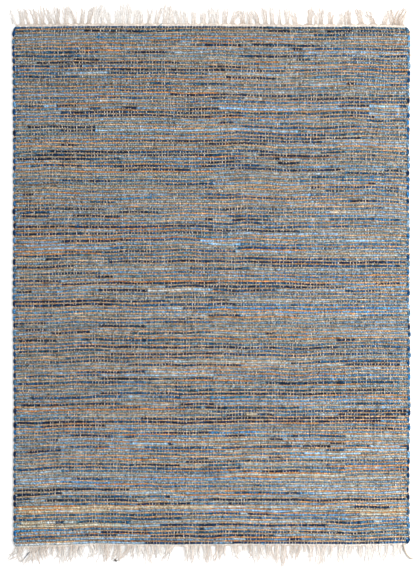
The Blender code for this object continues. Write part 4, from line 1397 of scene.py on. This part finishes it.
def layFrays():
    rng = random.Random(frays["seed"])
    rings, thick = frays["rings"], frays["thick"]
    share = np.linspace(-0.5, 0.5, rings)
    runs, colours = [], []
    for _ in range(frays["count"]):
        name = weighted(rng, frays["mix"])
        distance = rng.uniform(frays["fromEnd"], rug["length"] - frays["fromEnd"])
        place = rng.uniform(frays["left"], frays["right"])
        length = rng.uniform(frays["shortest"], frays["longest"])
        slope = math.radians(rng.gauss(0, frays["slope"]))
        bend = rng.gauss(0, frays["bend"])
        x = place + length * share * math.cos(slope)
        y = distance + length * (share * math.sin(slope) + bend * 0.25 * share ** 2)
        y = y + frays["curl"] * np.sin(2 * np.pi * share * rng.uniform(0.6, 2.2) + rng.uniform(0, 6.3))
        z = frays["height"] + frays["heightSpread"] * rng.random() - frays["dip"] * (2 * np.abs(share)) ** 4
        y = y + driftAt(place, distance)
        girth = rng.uniform(frays["thin"], thick) / thick
        runs.append((toFrame(np.c_[x, y, z]), girth * np.interp(np.abs(share), (0, 0.4, 0.5), (1, 1, 0.4))))
        tone = linearColour(frays["shades"][name])[None] / fullLight * rng.uniform(0.8, 1.15)
        colours.append(np.repeat(tone, rings, axis=0))
    piece = yarnMesh("frayed_threads", runs, ((thick, -0.5 * thick), (0, thick), (-thick, -0.5 * thick)))
    ringColours(piece, np.clip(np.concatenate(colours), 0, 0.9), 3)
    mapStrands(piece, 3, frays["count"], rings)
    piece.data.materials.append(cottonFinish)
    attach(piece, "root")
    return piece


frayedThreads = layFrays()
print("frayed threads laid")


# The middle of the cloth, in place of the hidden imported field: a dark slab of painted shade, seen only
# where the rows part.

core = {
    "low": 0.0030, "high": 0.0046, "inset": 0.006, "fromEnd": 0.002, "across": 24, "along": 32,
    "tone": (88, 84, 78), "map": (1.6, 2.2),
}


def layCore():
    bm = bmesh.new()
    bmesh.ops.create_grid(bm, x_segments=core["across"], y_segments=core["along"], size=0.5)
    for vert in bm.verts:
        distance = (vert.co.y + 0.5) * (rug["length"] - 2 * core["fromEnd"]) + core["fromEnd"]
        left, right = edgeAt(-1, distance) + core["inset"], edgeAt(1, distance) - core["inset"]
        place = float(left + (right - left) * (vert.co.x + 0.5))
        drift = float(driftAt(place, distance))
        vert.co = (place + rug["middleX"], distance + drift + rug["middleY"] - rug["length"] / 2, core["low"])
    raised = bmesh.ops.extrude_face_region(bm, geom=bm.faces[:])["geom"]
    bmesh.ops.translate(bm, verts=[item for item in raised if isinstance(item, bmesh.types.BMVert)],
                        vec=(0, 0, core["high"] - core["low"]))
    bmesh.ops.recalc_face_normals(bm, faces=bm.faces)
    mapLayer = bm.loops.layers.uv.new("OFBake")
    wide, deep = core["map"]
    for face in bm.faces:
        for loop in face.loops:
            loop[mapLayer].uv = ((loop.vert.co.x + wide / 2) / wide, (loop.vert.co.y + deep / 2) / deep)
    mesh = bpy.data.meshes.new("cloth_core")
    bm.to_mesh(mesh)
    bm.free()
    piece = bpy.data.objects.new("cloth_core", mesh)
    bpy.context.scene.collection.objects.link(piece)
    # its dark colour is painted shade, for the shadow deep between the rows
    finish = bpy.data.materials.new("painted shade under rows")
    finish.use_nodes = True
    shader = finish.node_tree.nodes["Principled BSDF"]
    shader.inputs["Base Color"].default_value = (*(linearColour(core["tone"]) / fullLight), 1)
    shader.inputs["Roughness"].default_value = 0.95
    mesh.materials.append(finish)
    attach(piece, "root")
    return piece


clothCore = layCore()

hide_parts("rug_field")
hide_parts("fringe_far")
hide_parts("fringe_near")
print("cloth closed")

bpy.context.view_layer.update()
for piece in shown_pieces():
    if piece.type == "MESH":
        print(piece.name, sum(len(polygon.vertices) - 2 for polygon in piece.data.polygons))
